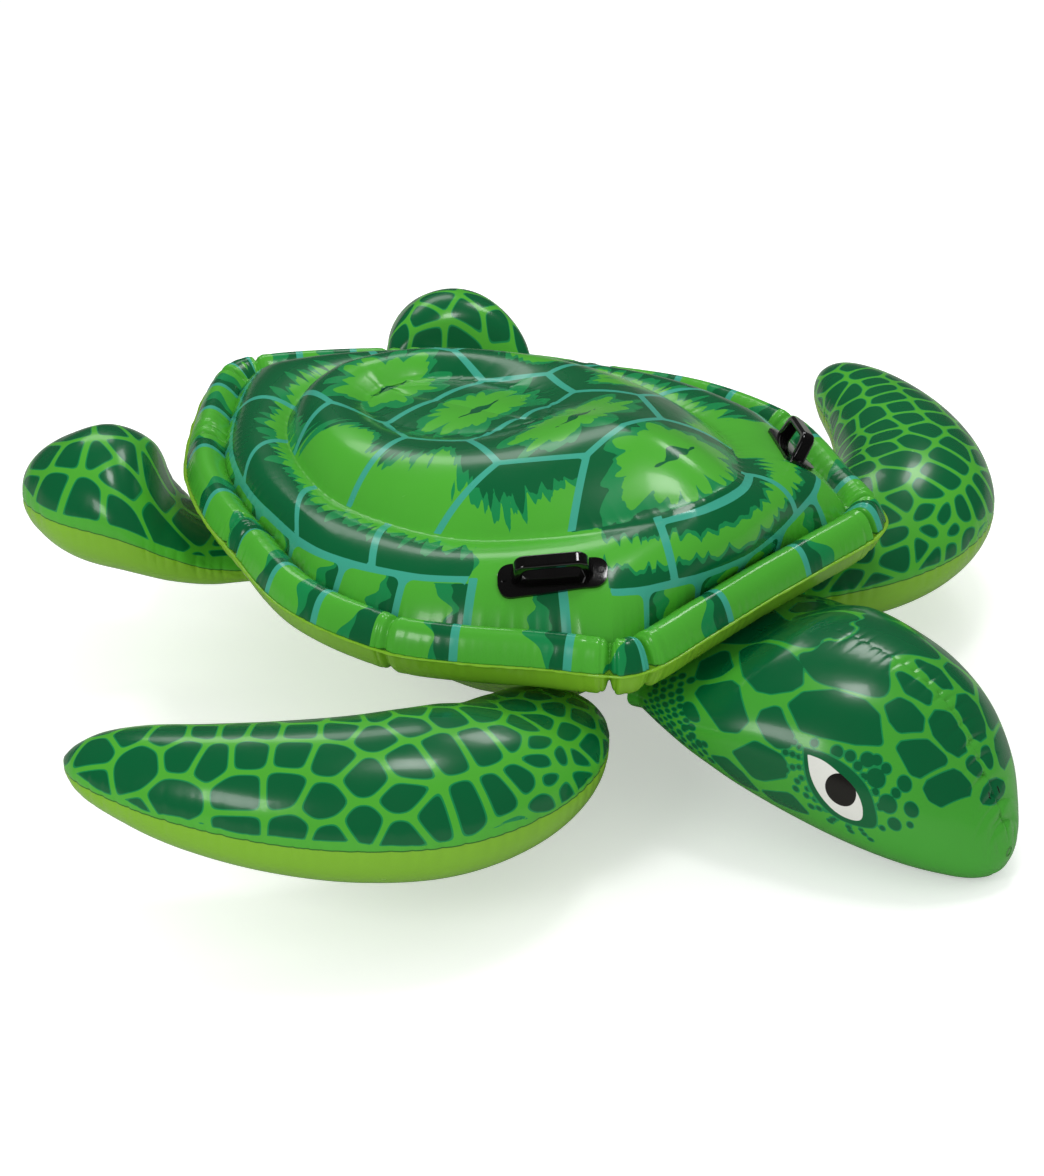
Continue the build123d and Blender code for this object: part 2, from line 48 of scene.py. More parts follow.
# Inflated sea turtle float: welded vinyl film.  Work in mm, meshes are written in metres.
GRADE = 0.955
RIM_WIDTH, RIM_BOTTOM_W, RIM_CROWN, RIM_BELLY, VALLEY_RISE = 52, 45, 27, 24, 14
BAND_CROWN, DOME_CROWN, RECESS_CROWN, FLAT_PRESS, BELLY_SHAPE = 27, 27, 8, 0.35, 1.25
OUTER_SEAM = [(0,-398,250),(120,-400,250),(212,-402,251),(258,-390,252),(284,-362,254),(318,-305,255),
              (370,-228,256),(404,-163,257),(416,-100,258),(419,-38,259),(413,20,260),(397,73,261),
              (362,156,262),(330,236,263),(297,298,264),(264,350,265),(220,401,266),(172,447,267),
              (122,490,268),(70,531,268),(25,557,268),(0,561,268)]
DOME_WELD = [(0,-322,368),(40,-312,362),(105,-268,347),(178,-196,332),(232,-110,320),(254,0,315),
             (249,90,313),(212,185,313),(150,278,314),(78,335,315),(0,358,316)]
RECESS_WELD = [(0,-41,382),(28,-28,376),(66,12,364),(93,70,354),(97,128,348),(80,188,344),(45,230,341),(0,246,339)]
FRONT_FLIPPER = [(205,-205,112,56,20,40),(244,-240,130,76,46,60),(290,-272,144,93,55,76),(346,-293,152,107,62,85),
                 (412,-300,157,114,80,88),(480,-286,161,115,88,88),(546,-246,167,108,85,86),(606,-187,173,96,78,80),
                 (657,-116,179,79,67,70),(692,-49,184,62,53,55),(716,-2,187,42,36,37),(726,22,188,22,19,19),
                 (730,33,188,6,6,6)]
REAR_FLIPPER = [(212,290,162,58,36,32),(252,330,180,80,18,50),(284,364,208,98,22,70),(310,398,236,108,76,86),
                (334,442,243,101,90,86),(350,491,243,78,72,68),(357,526,243,49,46,44),(361,546,243,23,21,21),
                (362,554,243,6,6,6)]
HEAD = [(-330,156,165,200,112),(-365,158,176,203,92),(-400,156,180,207,70),(-432,150,177,226,53),(-465,145,173,240,38),
        (-520,136,162,244,20),(-590,122,146,234,7),(-650,104,122,207,1),(-695,85,92,158,0.6),(-722,64,62,117,3),
        (-741,48,34,82,14),(-748,45,14,60,30),(-750,45,6,51,39)]


# ---------------------------------------------------------------- curves
def smooth(rows, n):
    P = np.asarray(rows, float)
    Q = np.vstack([2 * P[0] - P[1], P, 2 * P[-1] - P[-2]])
    out = []
    for i in range(1, len(Q) - 2):
        p0, p1, p2, p3 = Q[i - 1], Q[i], Q[i + 1], Q[i + 2]
        t = np.linspace(0, 1, 40, endpoint=False)[:, None]
        d1 = np.linalg.norm(p1 - p0) ** 0.5 + 1e-9
        d2 = np.linalg.norm(p2 - p1) ** 0.5 + 1e-9
        d3 = np.linalg.norm(p3 - p2) ** 0.5 + 1e-9
        m1 = ((p1 - p0) / d1 - (p2 - p0) / (d1 + d2) + (p2 - p1) / d2) * d2
        m2 = ((p2 - p1) / d2 - (p3 - p1) / (d2 + d3) + (p3 - p2) / d3) * d2
        out.append((2*t**3 - 3*t**2 + 1) * p1 + (t**3 - 2*t**2 + t) * m1 + (-2*t**3 + 3*t**2) * p2 + (t**3 - t**2) * m2)
    out = np.vstack(out + [Q[-2][None]])
    s = np.r_[0, np.cumsum(np.linalg.norm(np.diff(out, axis=0), axis=1))]
    q = np.linspace(0, s[-1], n)
    return np.array([np.interp(q, s, out[:, k]) for k in range(out.shape[1])]).T


def arc(A, B, crown, s, side):
    s = np.asarray(s)[None, :, None]
    return A[:, None] * (1 - s) + B[:, None] * s + side[:, None] * (crown[:, None, None] * 4 * s * (1 - s))


def up_out(A, B):
    ch = B - A
    L = np.linalg.norm(ch, axis=1)[:, None]
    ch = ch / L
    h = ch[:, :2]
    hl = np.linalg.norm(h, axis=1)[:, None]
    return np.c_[-(h / hl) * ch[:, 2:3], hl], L[:, 0]


NB = 421
S = smooth(OUTER_SEAM, NB)
_d = np.gradient(S[:, :2], axis=0)
_d /= np.linalg.norm(_d, axis=1)[:, None]
NIN = np.c_[-_d[:, 1], _d[:, 0]]
NIN[0], NIN[-1] = (0, 1), (0, -1)
V = S.copy()
V[:, :2] += NIN * RIM_WIDTH
V[:, 2] += VALLEY_RISE
A = S.copy()
A[:, :2] += NIN * RIM_BOTTOM_W
A[:, 2] -= 22
for _C in (V, A):
    _C[0, 0] = _C[-1, 0] = 0
    _C[:, 0] = np.maximum(_C[:, 0], 0)
S, V, A = S * GRADE, V * GRADE, A * GRADE
W1, W2 = smooth(DOME_WELD, NB) * GRADE, smooth(RECESS_WELD, NB) * GRADE
U = np.linspace(0, 1, NB)


def whole(G):
    """Closed ring from a right-hand half grid."""
    return np.concatenate([G, G[-2:0:-1] * [-1, 1, 1]], 0)


def both(a):
    return np.concatenate([a, a[-2:0:-1]], 0)


def run_length(curve):
    """Arc length round a closed ring."""
    d = np.linalg.norm(np.diff(np.vstack([curve, curve[:1]]), axis=0), axis=1)
    return np.r_[0, np.cumsum(d)[:-1]], d.sum()


def ring_normals(G, up=1):
    du = np.roll(G, -1, 0) - np.roll(G, 1, 0)
    dv = np.gradient(G, axis=1)
    n = np.cross(du, dv)
    n /= np.maximum(np.linalg.norm(n, axis=-1, keepdims=True), 1e-9)
    return n * up


# ---------------------------------------------------------------- noise and puckers
def wobble(s, step, seed, period=None):
    """Smooth seeded noise along a length, about -1 to 1."""
    r = np.random.default_rng(seed)
    if period:
        n = max(3, int(round(period / step)))
        k = r.uniform(-1, 1, n)
        x = (np.asarray(s) / period * n) % n
    else:
        n = int(np.max(s) / step) + 4
        k = r.uniform(-1, 1, n)
        x = np.asarray(s) / step
    i = np.floor(x).astype(int)
    t = x - i
    t = t * t * (3 - 2 * t)
    return k[i % n] * (1 - t) + k[(i + 1) % n] * t


def puckers(s, lam, seed, period=None):
    """Narrow grooves square to a weld, 0 on the crests and 1 in the grooves."""
    q = s / lam + 0.55 * wobble(s, lam * 2.1, seed, period)
    g = (1 - np.abs(np.sin(np.pi * q))) ** 1.8
    return g * (0.45 + 0.55 * wobble(s, lam * 1.3, seed + 7, period) ** 2 + 0.25 * wobble(s, lam * 5, seed + 9, period))


def fall(d, reach):
    return np.exp(-(np.abs(d) / reach) ** 1.3)


# ---------------------------------------------------------------- flat print: signed distances, positive inside
def seg(P, a, b):
    a, b = np.asarray(a, float), np.asarray(b, float)
    ab = b - a
    t = np.clip(((P - a) @ ab) / (ab @ ab), 0, 1)
    return np.linalg.norm(P - a - t[..., None] * ab, axis=-1)


def path(P, pts):
    return np.min([seg(P, a, b) for a, b in zip(pts[:-1], pts[1:])], axis=0)


def poly(P, pts):
    pts = np.asarray(pts, float)
    d = path(P, np.vstack([pts, pts[:1]]))
    x, y = P[..., 0], P[..., 1]
    inside = np.zeros(x.shape, bool)
    for (x0, y0), (x1, y1) in zip(pts, np.roll(pts, -1, 0)):
        if y0 == y1:
            continue
        c = ((y0 > y) != (y1 > y)) & (x < (x1 - x0) * (y - y0) / (y1 - y0) + x0)
        inside ^= c
    return np.where(inside, d, -d)


def spikes(q, n, seed, low=0.0, sharp=1.0):
    """Ragged leaf edge round a closed run q in 0..1: n round-tipped fingers, 0 to 1 high, leaning and uneven, with narrow notches."""
    r = np.random.default_rng(seed)
    step = r.uniform(0.5, 1.6, n)
    x = np.r_[0, np.cumsum(step)] / step.sum()
    h = r.uniform(0.35, 1.0, n)
    v = r.uniform(0.0, 0.32, n)
    lean = r.uniform(0.7, 1.45, n)
    q = np.asarray(q) % 1.0
    i = np.clip(np.searchsorted(x, q, side="right") - 1, 0, n - 1)
    t = (q - x[i]) / (x[i + 1] - x[i])
    base = v[i] * (1 - t) + v[(i + 1) % n] * t
    bend = np.clip(t, 1e-6, 1) ** lean[i]
    arch = np.clip(1 - np.abs(2 * bend - 1) ** 2.3, 0, 1) ** 0.8
    top = np.maximum(h[i], base + 0.12) + 0.07 * np.sin(2 * np.pi * (2.0 * t + lean[i])) * arch
    return low + (1 - low) * np.clip(base + (top - base) * arch, 0, 1.1) ** sharp


def leaf(P, centre, rx, ry, seed, n=19, rag=0.40):
    """Ragged leaf patch: returns (light, mid, slash) signed distances."""
    q = (P - np.asarray(centre, float)) / [rx, ry]
    r = np.linalg.norm(q, axis=-1)
    th = (np.arctan2(q[..., 1], q[..., 0]) / (2 * np.pi)) % 1.0
    m = min(rx, ry)
    lobes = 0.10 * np.sin(th * 2 * np.pi * 5 + seed) + 0.07 * np.sin(th * 2 * np.pi * 9 + 2 * seed)
    light = (1 - rag + rag * spikes(th, n, seed, sharp=0.8) + lobes - r) * m * 0.8
    mid = (1.06 - rag * 0.75 + rag * spikes(th + 0.013, n - 4, seed + 1, sharp=0.8) + lobes * 1.1 - r) * m * 0.8 + 2.5
    mid = np.maximum(mid, light + 2.6)
    a = np.array([0.10, -0.05])
    p2 = P - np.asarray(centre, float)
    L = rx * 0.42
    t = np.clip((p2[..., 0] - 0.25 * p2[..., 1]) / L, -1, 1)
    yy = p2[..., 1] + 0.10 * p2[..., 0] + 3.0 * np.sin(p2[..., 0] / 9.0)
    w = ry * 0.13 * (1 - np.abs(t)) * (1 + 0.4 * np.sin(p2[..., 0] / 4.7))
    slash = np.where(np.abs(t) < 1, w - np.abs(yy), -9.0)
    return light, mid, slash


def cells(P, seeds, gap, soft):
    """Rounded cells: signed distance to the edge of the cell each point is in."""
    out = np.empty(len(P))
    for k in range(0, len(P), 3000):
        p = P[k:k + 3000]
        D = ((p[:, None] - seeds[None]) ** 2).sum(-1)
        a = np.argmin(D, 1)
        sa = seeds[a]
        near = np.argpartition(D, 12, axis=1)[:, :13]
        sb = seeds[near]
        ab = sb - sa[:, None]
        L = np.linalg.norm(ab, axis=-1)
        ok = L > 1e-6
        e = (((sa[:, None] + sb) / 2 - p[:, None]) * ab).sum(-1) / np.maximum(L, 1e-6)
        e = np.where(ok, e, 1e3)
        m = e.min(1)
        out[k:k + 3000] = m - soft * np.log(np.exp(-(e - m[:, None]) / soft).sum(1))
    return out - gap / 2


# ---------------------------------------------------------------- meshes
def mesh_grid(name, G, wrap_u=False, wrap_v=False, flip=False, caps=(False, False), attrs=None, faces_extra=None):
    n, m = G.shape[:2]
    co = G.reshape(-1, 3) / 1000.0
    i = np.arange(n if wrap_u else n - 1)
    j = np.arange(m if wrap_v else m - 1)
    I, J = np.meshgrid(i, j, indexing="ij")
    I2, J2 = (I + 1) % n, (J + 1) % m
    F = np.stack([I * m + J, I2 * m + J, I2 * m + J2, I * m + J2], -1).reshape(-1, 4)
    if flip:
        F = F[:, ::-1]
    tris = []
    at = {k: np.asarray(v, float).reshape(-1) for k, v in (attrs or {}).items()}
    for end, want in zip((0, n - 1), caps):
        if want:
            c = G[end].mean(0) / 1000.0
            if not isinstance(want, bool):
                c = np.asarray(want, float) / 1000.0
            k = len(co)
            co = np.vstack([co, c[None]])
            for a in at:
                at[a] = np.r_[at[a], at[a][end * m:(end + 1) * m].mean()]
            jj = np.arange(m if wrap_v else m - 1)
            t = np.stack([end * m + (jj + 1) % m, end * m + jj, np.full(len(jj), k)], -1)
            if end:
                t = t[:, ::-1]
            if flip:
                t = t[:, ::-1]
            tris.append(t)
    me = bpy.data.meshes.new(name)
    T = np.vstack(tris) if tris else np.zeros((0, 3), int)
    nl = F.size + T.size
    me.vertices.add(len(co))
    me.vertices.foreach_set("co", co.astype(np.float32).ravel())
    me.loops.add(nl)
    me.loops.foreach_set("vertex_index", np.r_[F.ravel(), T.ravel()].astype(np.int32))
    me.polygons.add(len(F) + len(T))
    me.polygons.foreach_set("loop_start", np.r_[np.arange(len(F)) * 4, F.size + np.arange(len(T)) * 3].astype(np.int32))
    me.polygons.foreach_set("loop_total", np.r_[np.full(len(F), 4), np.full(len(T), 3)].astype(np.int32))
    me.update(calc_edges=True)
    me.validate()
    me.shade_smooth()
    for a, v in at.items():
        x = me.attributes.new(a, "FLOAT", "POINT")
        x.data.foreach_set("value", v.astype(np.float32))
    ob = bpy.data.objects.new(name, me)
    bpy.context.scene.collection.objects.link(ob)
    return ob


# ---------------------------------------------------------------- materials
def rgb(h):
    c = [int(h[k:k + 2], 16) / 255 for k in (0, 2, 4)]
    return [x / 12.92 if x <= 0.04045 else ((x + 0.055) / 1.055) ** 2.4 for x in c] + [1.0]


LIGHT, MID, DARK, TEAL, LIME = rgb("4FB233"), rgb("128C4C"), rgb("006436"), rgb("3DAA90"), rgb("82BC2C")
HEADLIGHT = rgb("46A934")
BLACK, WHITE = rgb("1A1614"), rgb("EDEDE6")


class Nodes:
    def __init__(self, name):
        self.mat = bpy.data.materials.new(name)
        self.mat.use_nodes = True
        self.t = self.mat.node_tree
        self.t.nodes.clear()
        self.out = self.t.nodes.new("ShaderNodeOutputMaterial")
        self.b = self.t.nodes.new("ShaderNodeBsdfPrincipled")
        self.t.links.new(self.b.outputs[0], self.out.inputs[0])

    def new(self, kind, **kw):
        n = self.t.nodes.new(kind)
        for k, v in kw.items():
            setattr(n, k, v)
        return n

    def link(self, a, b):
        self.t.links.new(a, b)

    def attr(self, name):
        n = self.new("ShaderNodeAttribute", attribute_name=name)
        return n.outputs["Fac"]

    def step(self, src, lo=-0.25, hi=0.25):
        n = self.new("ShaderNodeMapRange", clamp=True)
        n.inputs["From Min"].default_value = lo
        n.inputs["From Max"].default_value = hi
        self.link(src, n.inputs["Value"])
        return n.outputs[0]

    def mix(self, fac, a, b):
        n = self.new("ShaderNodeMix", data_type="RGBA")
        self.link(fac, n.inputs[0])
        for sock, v in ((n.inputs[6], a), (n.inputs[7], b)):
            if isinstance(v, (list, tuple)):
                sock.default_value = v
            else:
                self.link(v, sock)
        return n.outputs[2]

    def noise(self, scale, detail=3.0, rough=0.5, dist=0.0):
        c = self.new("ShaderNodeTexCoord")
        n = self.new("ShaderNodeTexNoise")
        n.inputs["Scale"].default_value = scale
        n.inputs["Detail"].default_value = detail
        n.inputs["Roughness"].default_value = rough
        n.inputs["Distortion"].default_value = dist
        self.link(c.outputs["Object"], n.inputs["Vector"])
        return n.outputs["Fac"]

    def math(self, op, a, b=0.0):
        n = self.new("ShaderNodeMath", operation=op)
        for sock, v in ((n.inputs[0], a), (n.inputs[1], b)):
            if isinstance(v, (int, float)):
                sock.default_value = v
            else:
                self.link(v, sock)
        return n.outputs[0]

    def vinyl(self, colour, rough=0.235, coat=0.22, bump=0.12, fine=0.02, sss=0.0):
        tone = self.noise(9.0, 2.0)
        hsv = self.new("ShaderNodeHueSaturation")
        self.link(self.math("MULTIPLY_ADD", tone, 0.16), hsv.inputs["Value"])
        n = hsv.inputs["Value"].links[0].from_node
        n.inputs[2].default_value = 0.92
        if isinstance(colour, (list, tuple)):
            hsv.inputs["Color"].default_value = colour
        else:
            self.link(colour, hsv.inputs["Color"])
        self.link(hsv.outputs[0], self.b.inputs["Base Color"])
        r = self.new("ShaderNodeMapRange")
        self.link(self.noise(30.0, 4.0), r.inputs["Value"])
        r.inputs["To Min"].default_value = rough - 0.05
        r.inputs["To Max"].default_value = rough + 0.07
        self.link(r.outputs[0], self.b.inputs["Roughness"])
        self.b.inputs["Coat Weight"].default_value = coat
        self.b.inputs["Coat Roughness"].default_value = 0.09
        self.b.inputs["Specular IOR Level"].default_value = 0.36
        self.b.inputs["IOR"].default_value = 1.52
        big, small = self.noise(22.0, 3.0, 0.55), self.noise(420.0, 2.0)
        b1 = self.new("ShaderNodeBump")
        b1.inputs["Strength"].default_value = bump
        b1.inputs["Distance"].default_value = 0.004
        self.link(big, b1.inputs["Height"])
        b2 = self.new("ShaderNodeBump")
        b2.inputs["Strength"].default_value = fine
        b2.inputs["Distance"].default_value = 0.0006
        self.link(small, b2.inputs["Height"])
        self.link(b1.outputs[0], b2.inputs["Normal"])
        self.link(b2.outputs[0], self.b.inputs["Normal"])
        return self.mat


def printed(name, base=LIGHT, lime=True, eye=False, **kw):
    m = Nodes(name)
    c = m.mix(m.step(m.attr("p_mid")), base, MID)
    c = m.mix(m.step(m.attr("p_dark")), c, DARK)
    c = m.mix(m.step(m.attr("p_line")), c, TEAL)
    if eye:
        c = m.mix(m.step(m.attr("p_white")), c, WHITE)
        c = m.mix(m.step(m.attr("p_black")), c, BLACK)
    if lime:
        c = m.mix(m.step(m.attr("p_lime")), c, LIME)
        near = m.math("SUBTRACT", 0.75, m.math("ABSOLUTE", m.attr("p_lime")))
        c = m.mix(m.step(near, -0.3, 0.3), c, rgb("2E6B22"))
    return m.vinyl(c, **kw)


MAT_SHELL = printed("printed_vinyl_shell", lime=False, bump=0.05)
MAT_RIM = printed("printed_vinyl_rim", bump=0.10)
MAT_FLIP = printed("printed_vinyl_flipper", bump=0.08)
MAT_HEAD = printed("printed_vinyl_head", base=HEADLIGHT, lime=False, eye=True, bump=0.05)
MAT_LIME = Nodes("plain_vinyl_lime").vinyl(LIME, bump=0.10)
MAT_WEB = Nodes("plain_vinyl_inside").vinyl(rgb("C9D2C0"), rough=0.4, coat=0.1)
MAT_BLACK = Nodes("moulded_black_vinyl").vinyl(rgb("070606"), rough=0.13, coat=1.0, bump=0.04, fine=0.03)
MAT_VALVE = Nodes("moulded_valve_vinyl").vinyl(rgb("D9E0D2"), rough=0.3, coat=0.4, bump=0.03)
MAT_VALVE.node_tree.nodes["Principled BSDF"].inputs["Transmission Weight"].default_value = 0.35


def use(ob, mat):
    ob.data.materials.clear()
    ob.data.materials.append(mat)
    return ob


# ---------------------------------------------------------------- seat sheet: band, dome, recess
NV, ND, NR = 40, 60, 30
side, Lb = up_out(V, W1)
vb = np.linspace(0.0, 1, NV)
band = arc(V, W1, np.minimum(BAND_CROWN * GRADE, Lb * 0.34), vb, side)
side, Ld = up_out(W1, W2)
vd = np.linspace(0, 1, ND)
dome = arc(W1, W2, np.minimum((DOME_CROWN + 9) * GRADE, Ld * 0.4), vd, side)
M = np.zeros_like(W2)
M[:, 1] = np.interp(U, [0, 0.15, 0.85, 1], [-25, 10, 190, 232]) * GRADE
M[:, 2] = np.interp(U, [0, 1], [372, 342]) * GRADE
vr = np.linspace(0, 1, NR)
recess = arc(W2, M, np.full(NB, RECESS_CROWN * GRADE * 0.5), vr, np.tile([0, 0, 1.0], (NB, 1)))

# the print, on the right-hand half in pattern units
HEX = [(0,-168),(72,-168),(137,-82),(101,0),(136,74),(94,152),(117,228),(85,330)]
TEAL_W = 4.6
BRICK_U = [0.0, 0.055, 0.124, 0.24, 0.321, 0.398, 0.471, 0.560, 0.638, 0.713, 0.787, 0.86, 0.93, 1.0]


def brick_v(u):
    return np.interp(u, [0, 0.06, 0.12, 0.185, 0.25, 0.32, 0.40, 0.47, 0.56, 0.64, 0.71, 0.85, 1.0],
                     [0.23, 0.24, 0.29, 0.36, 0.42, 0.41, 0.345, 0.275, 0.185, 0.14, 0.13, 0.17, 0.22])


def print_band():
    Lu = np.linalg.norm(np.diff(V, axis=0), axis=1).sum()
    Lw = np.linalg.norm(np.diff(W1, axis=0), axis=1).sum()
    uu, vv = np.meshgrid(U, vb, indexing="ij")
    span = Lb[:, None] * 1.12
    run = Lu * (1 - vv) + Lw * vv
    bv = brick_v(uu)
    teeth = spikes(uu, 46, 3)
    teeth2 = spikes(uu + 0.008, 40, 4)
    # handle zone: plain
    zone = np.minimum(uu - 0.178, 0.327 - uu) * run
    zone = np.minimum(zone + 5.0 * np.sin(vv * 9) + 2, 60)
    # strip of leaf teeth along the dome weld
    wdark = (0.93 - 0.36 * teeth - vv) * span
    wmid = (0.97 - 0.27 * teeth2 - vv) * span
    outer = (vv - bv) * span - 4
    dark = np.minimum(wdark, outer)
    mid = np.minimum(np.maximum(wmid, wdark + 2.5), outer)
    front = (0.178 - uu) * run
    # front: leaf strip in the middle of the band
    fr = np.clip(front / 12, 0, 1)
    far = spikes(uu + 0.3, 58, 8) * (vv > bv + 0.34) + spikes(uu + 0.41, 47, 18) * (vv <= bv + 0.34)
    leafc = (0.085 + 0.16 * far - np.abs(vv - (bv + 0.34))) * span
    leafc = np.minimum(leafc, (uu - 0.006) * 400 + 14)
    dark = np.where(front > 0, np.minimum(np.maximum(outer, -50), -leafc), dark)
    mid = np.where(front > 0, np.minimum(outer, -leafc + 4 + 4 * spikes(uu, 50, 9)), mid)
    # handle zone clears both
    dark = np.minimum(dark, -zone)
    mid = np.minimum(mid, -zone + 3 + 3 * np.sin(vv * 23))
    # bricks along the valley
    line = np.full(uu.shape, -50.0)
    bd = np.full(uu.shape, -50.0)
    bm = np.full(uu.shape, -50.0)
    r = np.random.default_rng(5)
    for k, b in enumerate(BRICK_U):
        x = (uu - b) * run
        top = (bv - vv) * span
        line = np.maximum(line, np.minimum(TEAL_W - np.abs(x), top + 2))
        b_ = np.where(zone > 0, 99.0, np.maximum(top, 0))
        corner = 15.0 - np.hypot(np.clip(15.0 - np.abs(x), 0, None), np.clip(15.0 - b_, 0, None))
        line = np.maximum(line, np.where((top > 0) & (np.abs(x) < 15) & (b_ < 15), TEAL_W - corner, -50.0))
        wav = 5 * np.sin(vv * (17 + 5 * r.random()) + r.uniform(0, 6)) + 3 * np.sin(vv * 41 + r.uniform(0, 6))
        if b < 0.17:
            x = -x
        d1 = np.minimum(x - TEAL_W, 17 + wav - x)
        d2 = np.minimum(x - TEAL_W, 29 + 9 * np.sin(vv * (11 + 6 * r.random()) + r.uniform(0, 6)) + wav - x)
        lim = top + np.where((b > 0.2) & (b < 0.33), -6.0, 0.0)
        bd = np.maximum(bd, np.minimum(d1, lim))
        bm = np.maximum(bm, np.minimum(d2, lim))
    inner = (bv - vv) * span
    dark = np.where(inner > 0, bd, np.maximum(dark, -50))
    mid = np.where(inner > 0, bm, mid)
    along = TEAL_W - np.abs(vv - bv) * span
    along = np.where(zone > 0, -zone, along)
    line = np.maximum(line, along)
    # radial lines from the bricks to the dome weld
    P2 = np.stack([uu * run, vv * span], -1)
    for u0, u1 in ((0.085, 0.10), (0.437, 0.47), (0.555, 0.63), (0.69, 0.785), (0.86, 0.90)):
        t = np.clip((vv - bv) / (1 - bv), 0, 1)
        c = u0 * (1 - t) + u1 * t
        line = np.maximum(line, np.minimum(TEAL_W - np.abs(uu - c) * run * 0.93, (vv - bv) * span))
    # teal line just outside the weld at the front
    line = np.maximum(line, np.minimum(TEAL_W - np.abs(vv - 0.93) * span, (0.10 - uu) * run))
    return dark, mid, line


def print_dome(Q):
    P = Q[..., :2] / GRADE
    line = np.full(P.shape[:-1], -50.0)
    hexes = HEX
    d = path(P, hexes)
    line = np.maximum(line, TEAL_W - d)
    for a, b in (((72,-168),(166,-222)),((137,-82),(250,-76)),((136,74),(250,62)),((117,228),(196,224)),((0,0),(101,0)),((0,152),(94,152))):
        line = np.maximum(line, TEAL_W - seg(P, a, b))
    outline = poly(P, HEX + [(0, 345), (-1, 345), (-1, -168)])
    edge = path(P, HEX)
    th = np.arctan2(P[..., 1] - 60, P[..., 0]) / np.pi + 0.5
    dist = edge
    hump = 0.72 + 0.42 * np.cos((th * 5.0 + 0.1) * 2 * np.pi * 0.8)
    T = 19 + 13 * hump + 36 * spikes(th, 58, 31, sharp=1.0) * hump
    T2 = 26 + 16 * hump + 46 * spikes(th + 0.009, 47, 33, sharp=1.0) * hump
    c_dark = T - dist
    c_mid = np.maximum(T2 - dist, c_dark + 2.0)
    # slashes in the light part
    r = np.random.default_rng(8)
    for _ in range(15):
        a = r.uniform(-0.3, 1.05) * np.pi - np.pi / 2 * 0.6
        rad = r.uniform(165, 225)
        c = np.array([rad * math.cos(a), 60 + rad * 1.15 * math.sin(a)])
        u_ = np.array([math.cos(a), math.sin(a)])
        q = P - c
        l_, w_ = q @ u_, q @ np.array([-u_[1], u_[0]])
        s_ = 2.4 * (1 - np.abs(l_) / 17) - np.abs(w_ + l_ * 0.12)
        c_mid = np.maximum(c_mid, np.where(np.abs(l_) < 17, s_, -9))
    light = np.full(dist.shape, -50.0)
    lmid = np.full(dist.shape, -50.0)
    slash = np.full(dist.shape, -50.0)
    for c, rx, ry, sd, n in (((0,-88), 104, 50, 11, 17), ((0,76), 98, 54, 12, 18), ((0,240), 88, 60, 13, 16)):
        a, b, s_ = leaf(P, c, rx, ry, sd, n)
        light, lmid, slash = np.maximum(light, a), np.maximum(lmid, b), np.maximum(slash, s_)
    v_dark = np.maximum(-lmid, slash)
    v_mid = -light
    inside = outline > 0
    dark = np.where(inside, v_dark, c_dark)
    mid = np.where(inside, v_mid, c_mid)
    # front scute
    fpoly = [(-1,-168),(72,-168),(166,-222),(190,-330),(0,-400),(-1,-400)]
    fs = poly(P, fpoly)
    a, b, s_ = leaf(P, (0, -246), 104, 66, 14, 19)
    dark = np.where(fs > 0, np.maximum(-b, s_), dark)
    mid = np.where(fs > 0, -a, mid)
    return dark, mid, line


bd_, bm_, bl_ = print_band()
dd_, dm_, dl_ = print_dome(dome)
rd_, rm_, rl_ = print_dome(recess)
half = np.concatenate([band, dome[:, 1:], recess[:, 1:]], 1)
att = {"p_dark": np.concatenate([bd_, dd_[:, 1:], rd_[:, 1:]], 1),
       "p_mid": np.concatenate([bm_, dm_[:, 1:], rm_[:, 1:]], 1),
       "p_line": np.concatenate([bl_, dl_[:, 1:], rl_[:, 1:]], 1)}
top = whole(half)
att = {k: both(v) for k, v in att.items()}
# the film runs smoothly over the mirror plane
_w = np.exp(-(np.arange(-18, 19) / 7.0) ** 2)
_w /= _w.sum()
_even = sum(_w[k + 18] * np.roll(top, -k, 0) for k in range(-18, 19))
_n = len(top)
_row = np.minimum(np.arange(_n), _n - np.arange(_n))
_near = np.exp(-(_row / 16.0) ** 2) + np.exp(-((_row - (NB - 1)) / 16.0) ** 2)
_col = np.clip((np.arange(top.shape[1]) - 8) / (NV - 10.0), 0, 1)
top = top + (_even - top) * (np.clip(_near, 0, 1)[:, None] * _col[None])[..., None]
n_top = ring_normals(top)
if n_top[0, 5, 2] < 0:
    n_top = -n_top
sV, LV = run_length(whole(V[:, None])[:, 0])
sW, LW = run_length(whole(W1[:, None])[:, 0])
sR, LR = run_length(whole(W2[:, None])[:, 0])
disp = np.zeros(top.shape[:2])
Lb2, Ld2 = both(Lb[:, None])[:, 0], both(Ld[:, None])[:, 0]
band_d = vb[None] * Lb2[:, None]
disp[:, :NV] -= 1.7 * puckers(sV, 17, 41, LV)[:, None] * fall(band_d, 24)
disp[:, :NV] -= 0.55 * puckers(sW, 19, 42, LW)[:, None] * fall(Lb2[:, None] - band_d, 16)
dome_d = vd[None] * Ld2[:, None]
disp[:, NV - 1:NV + ND - 1] -= 0.55 * puckers(sW, 19, 42, LW)[:, None] * fall(dome_d, 14)
disp[:, NV - 1:NV + ND - 1] -= 0.6 * puckers(sR, 23, 43, LR)[:, None] * fall(Ld2[:, None] - dome_d, 22)
rec_d = vr[None] * 90
disp[:, NV + ND - 2:] -= 0.5 * puckers(sR, 23, 43, LR)[:, None] * fall(rec_d, 20)
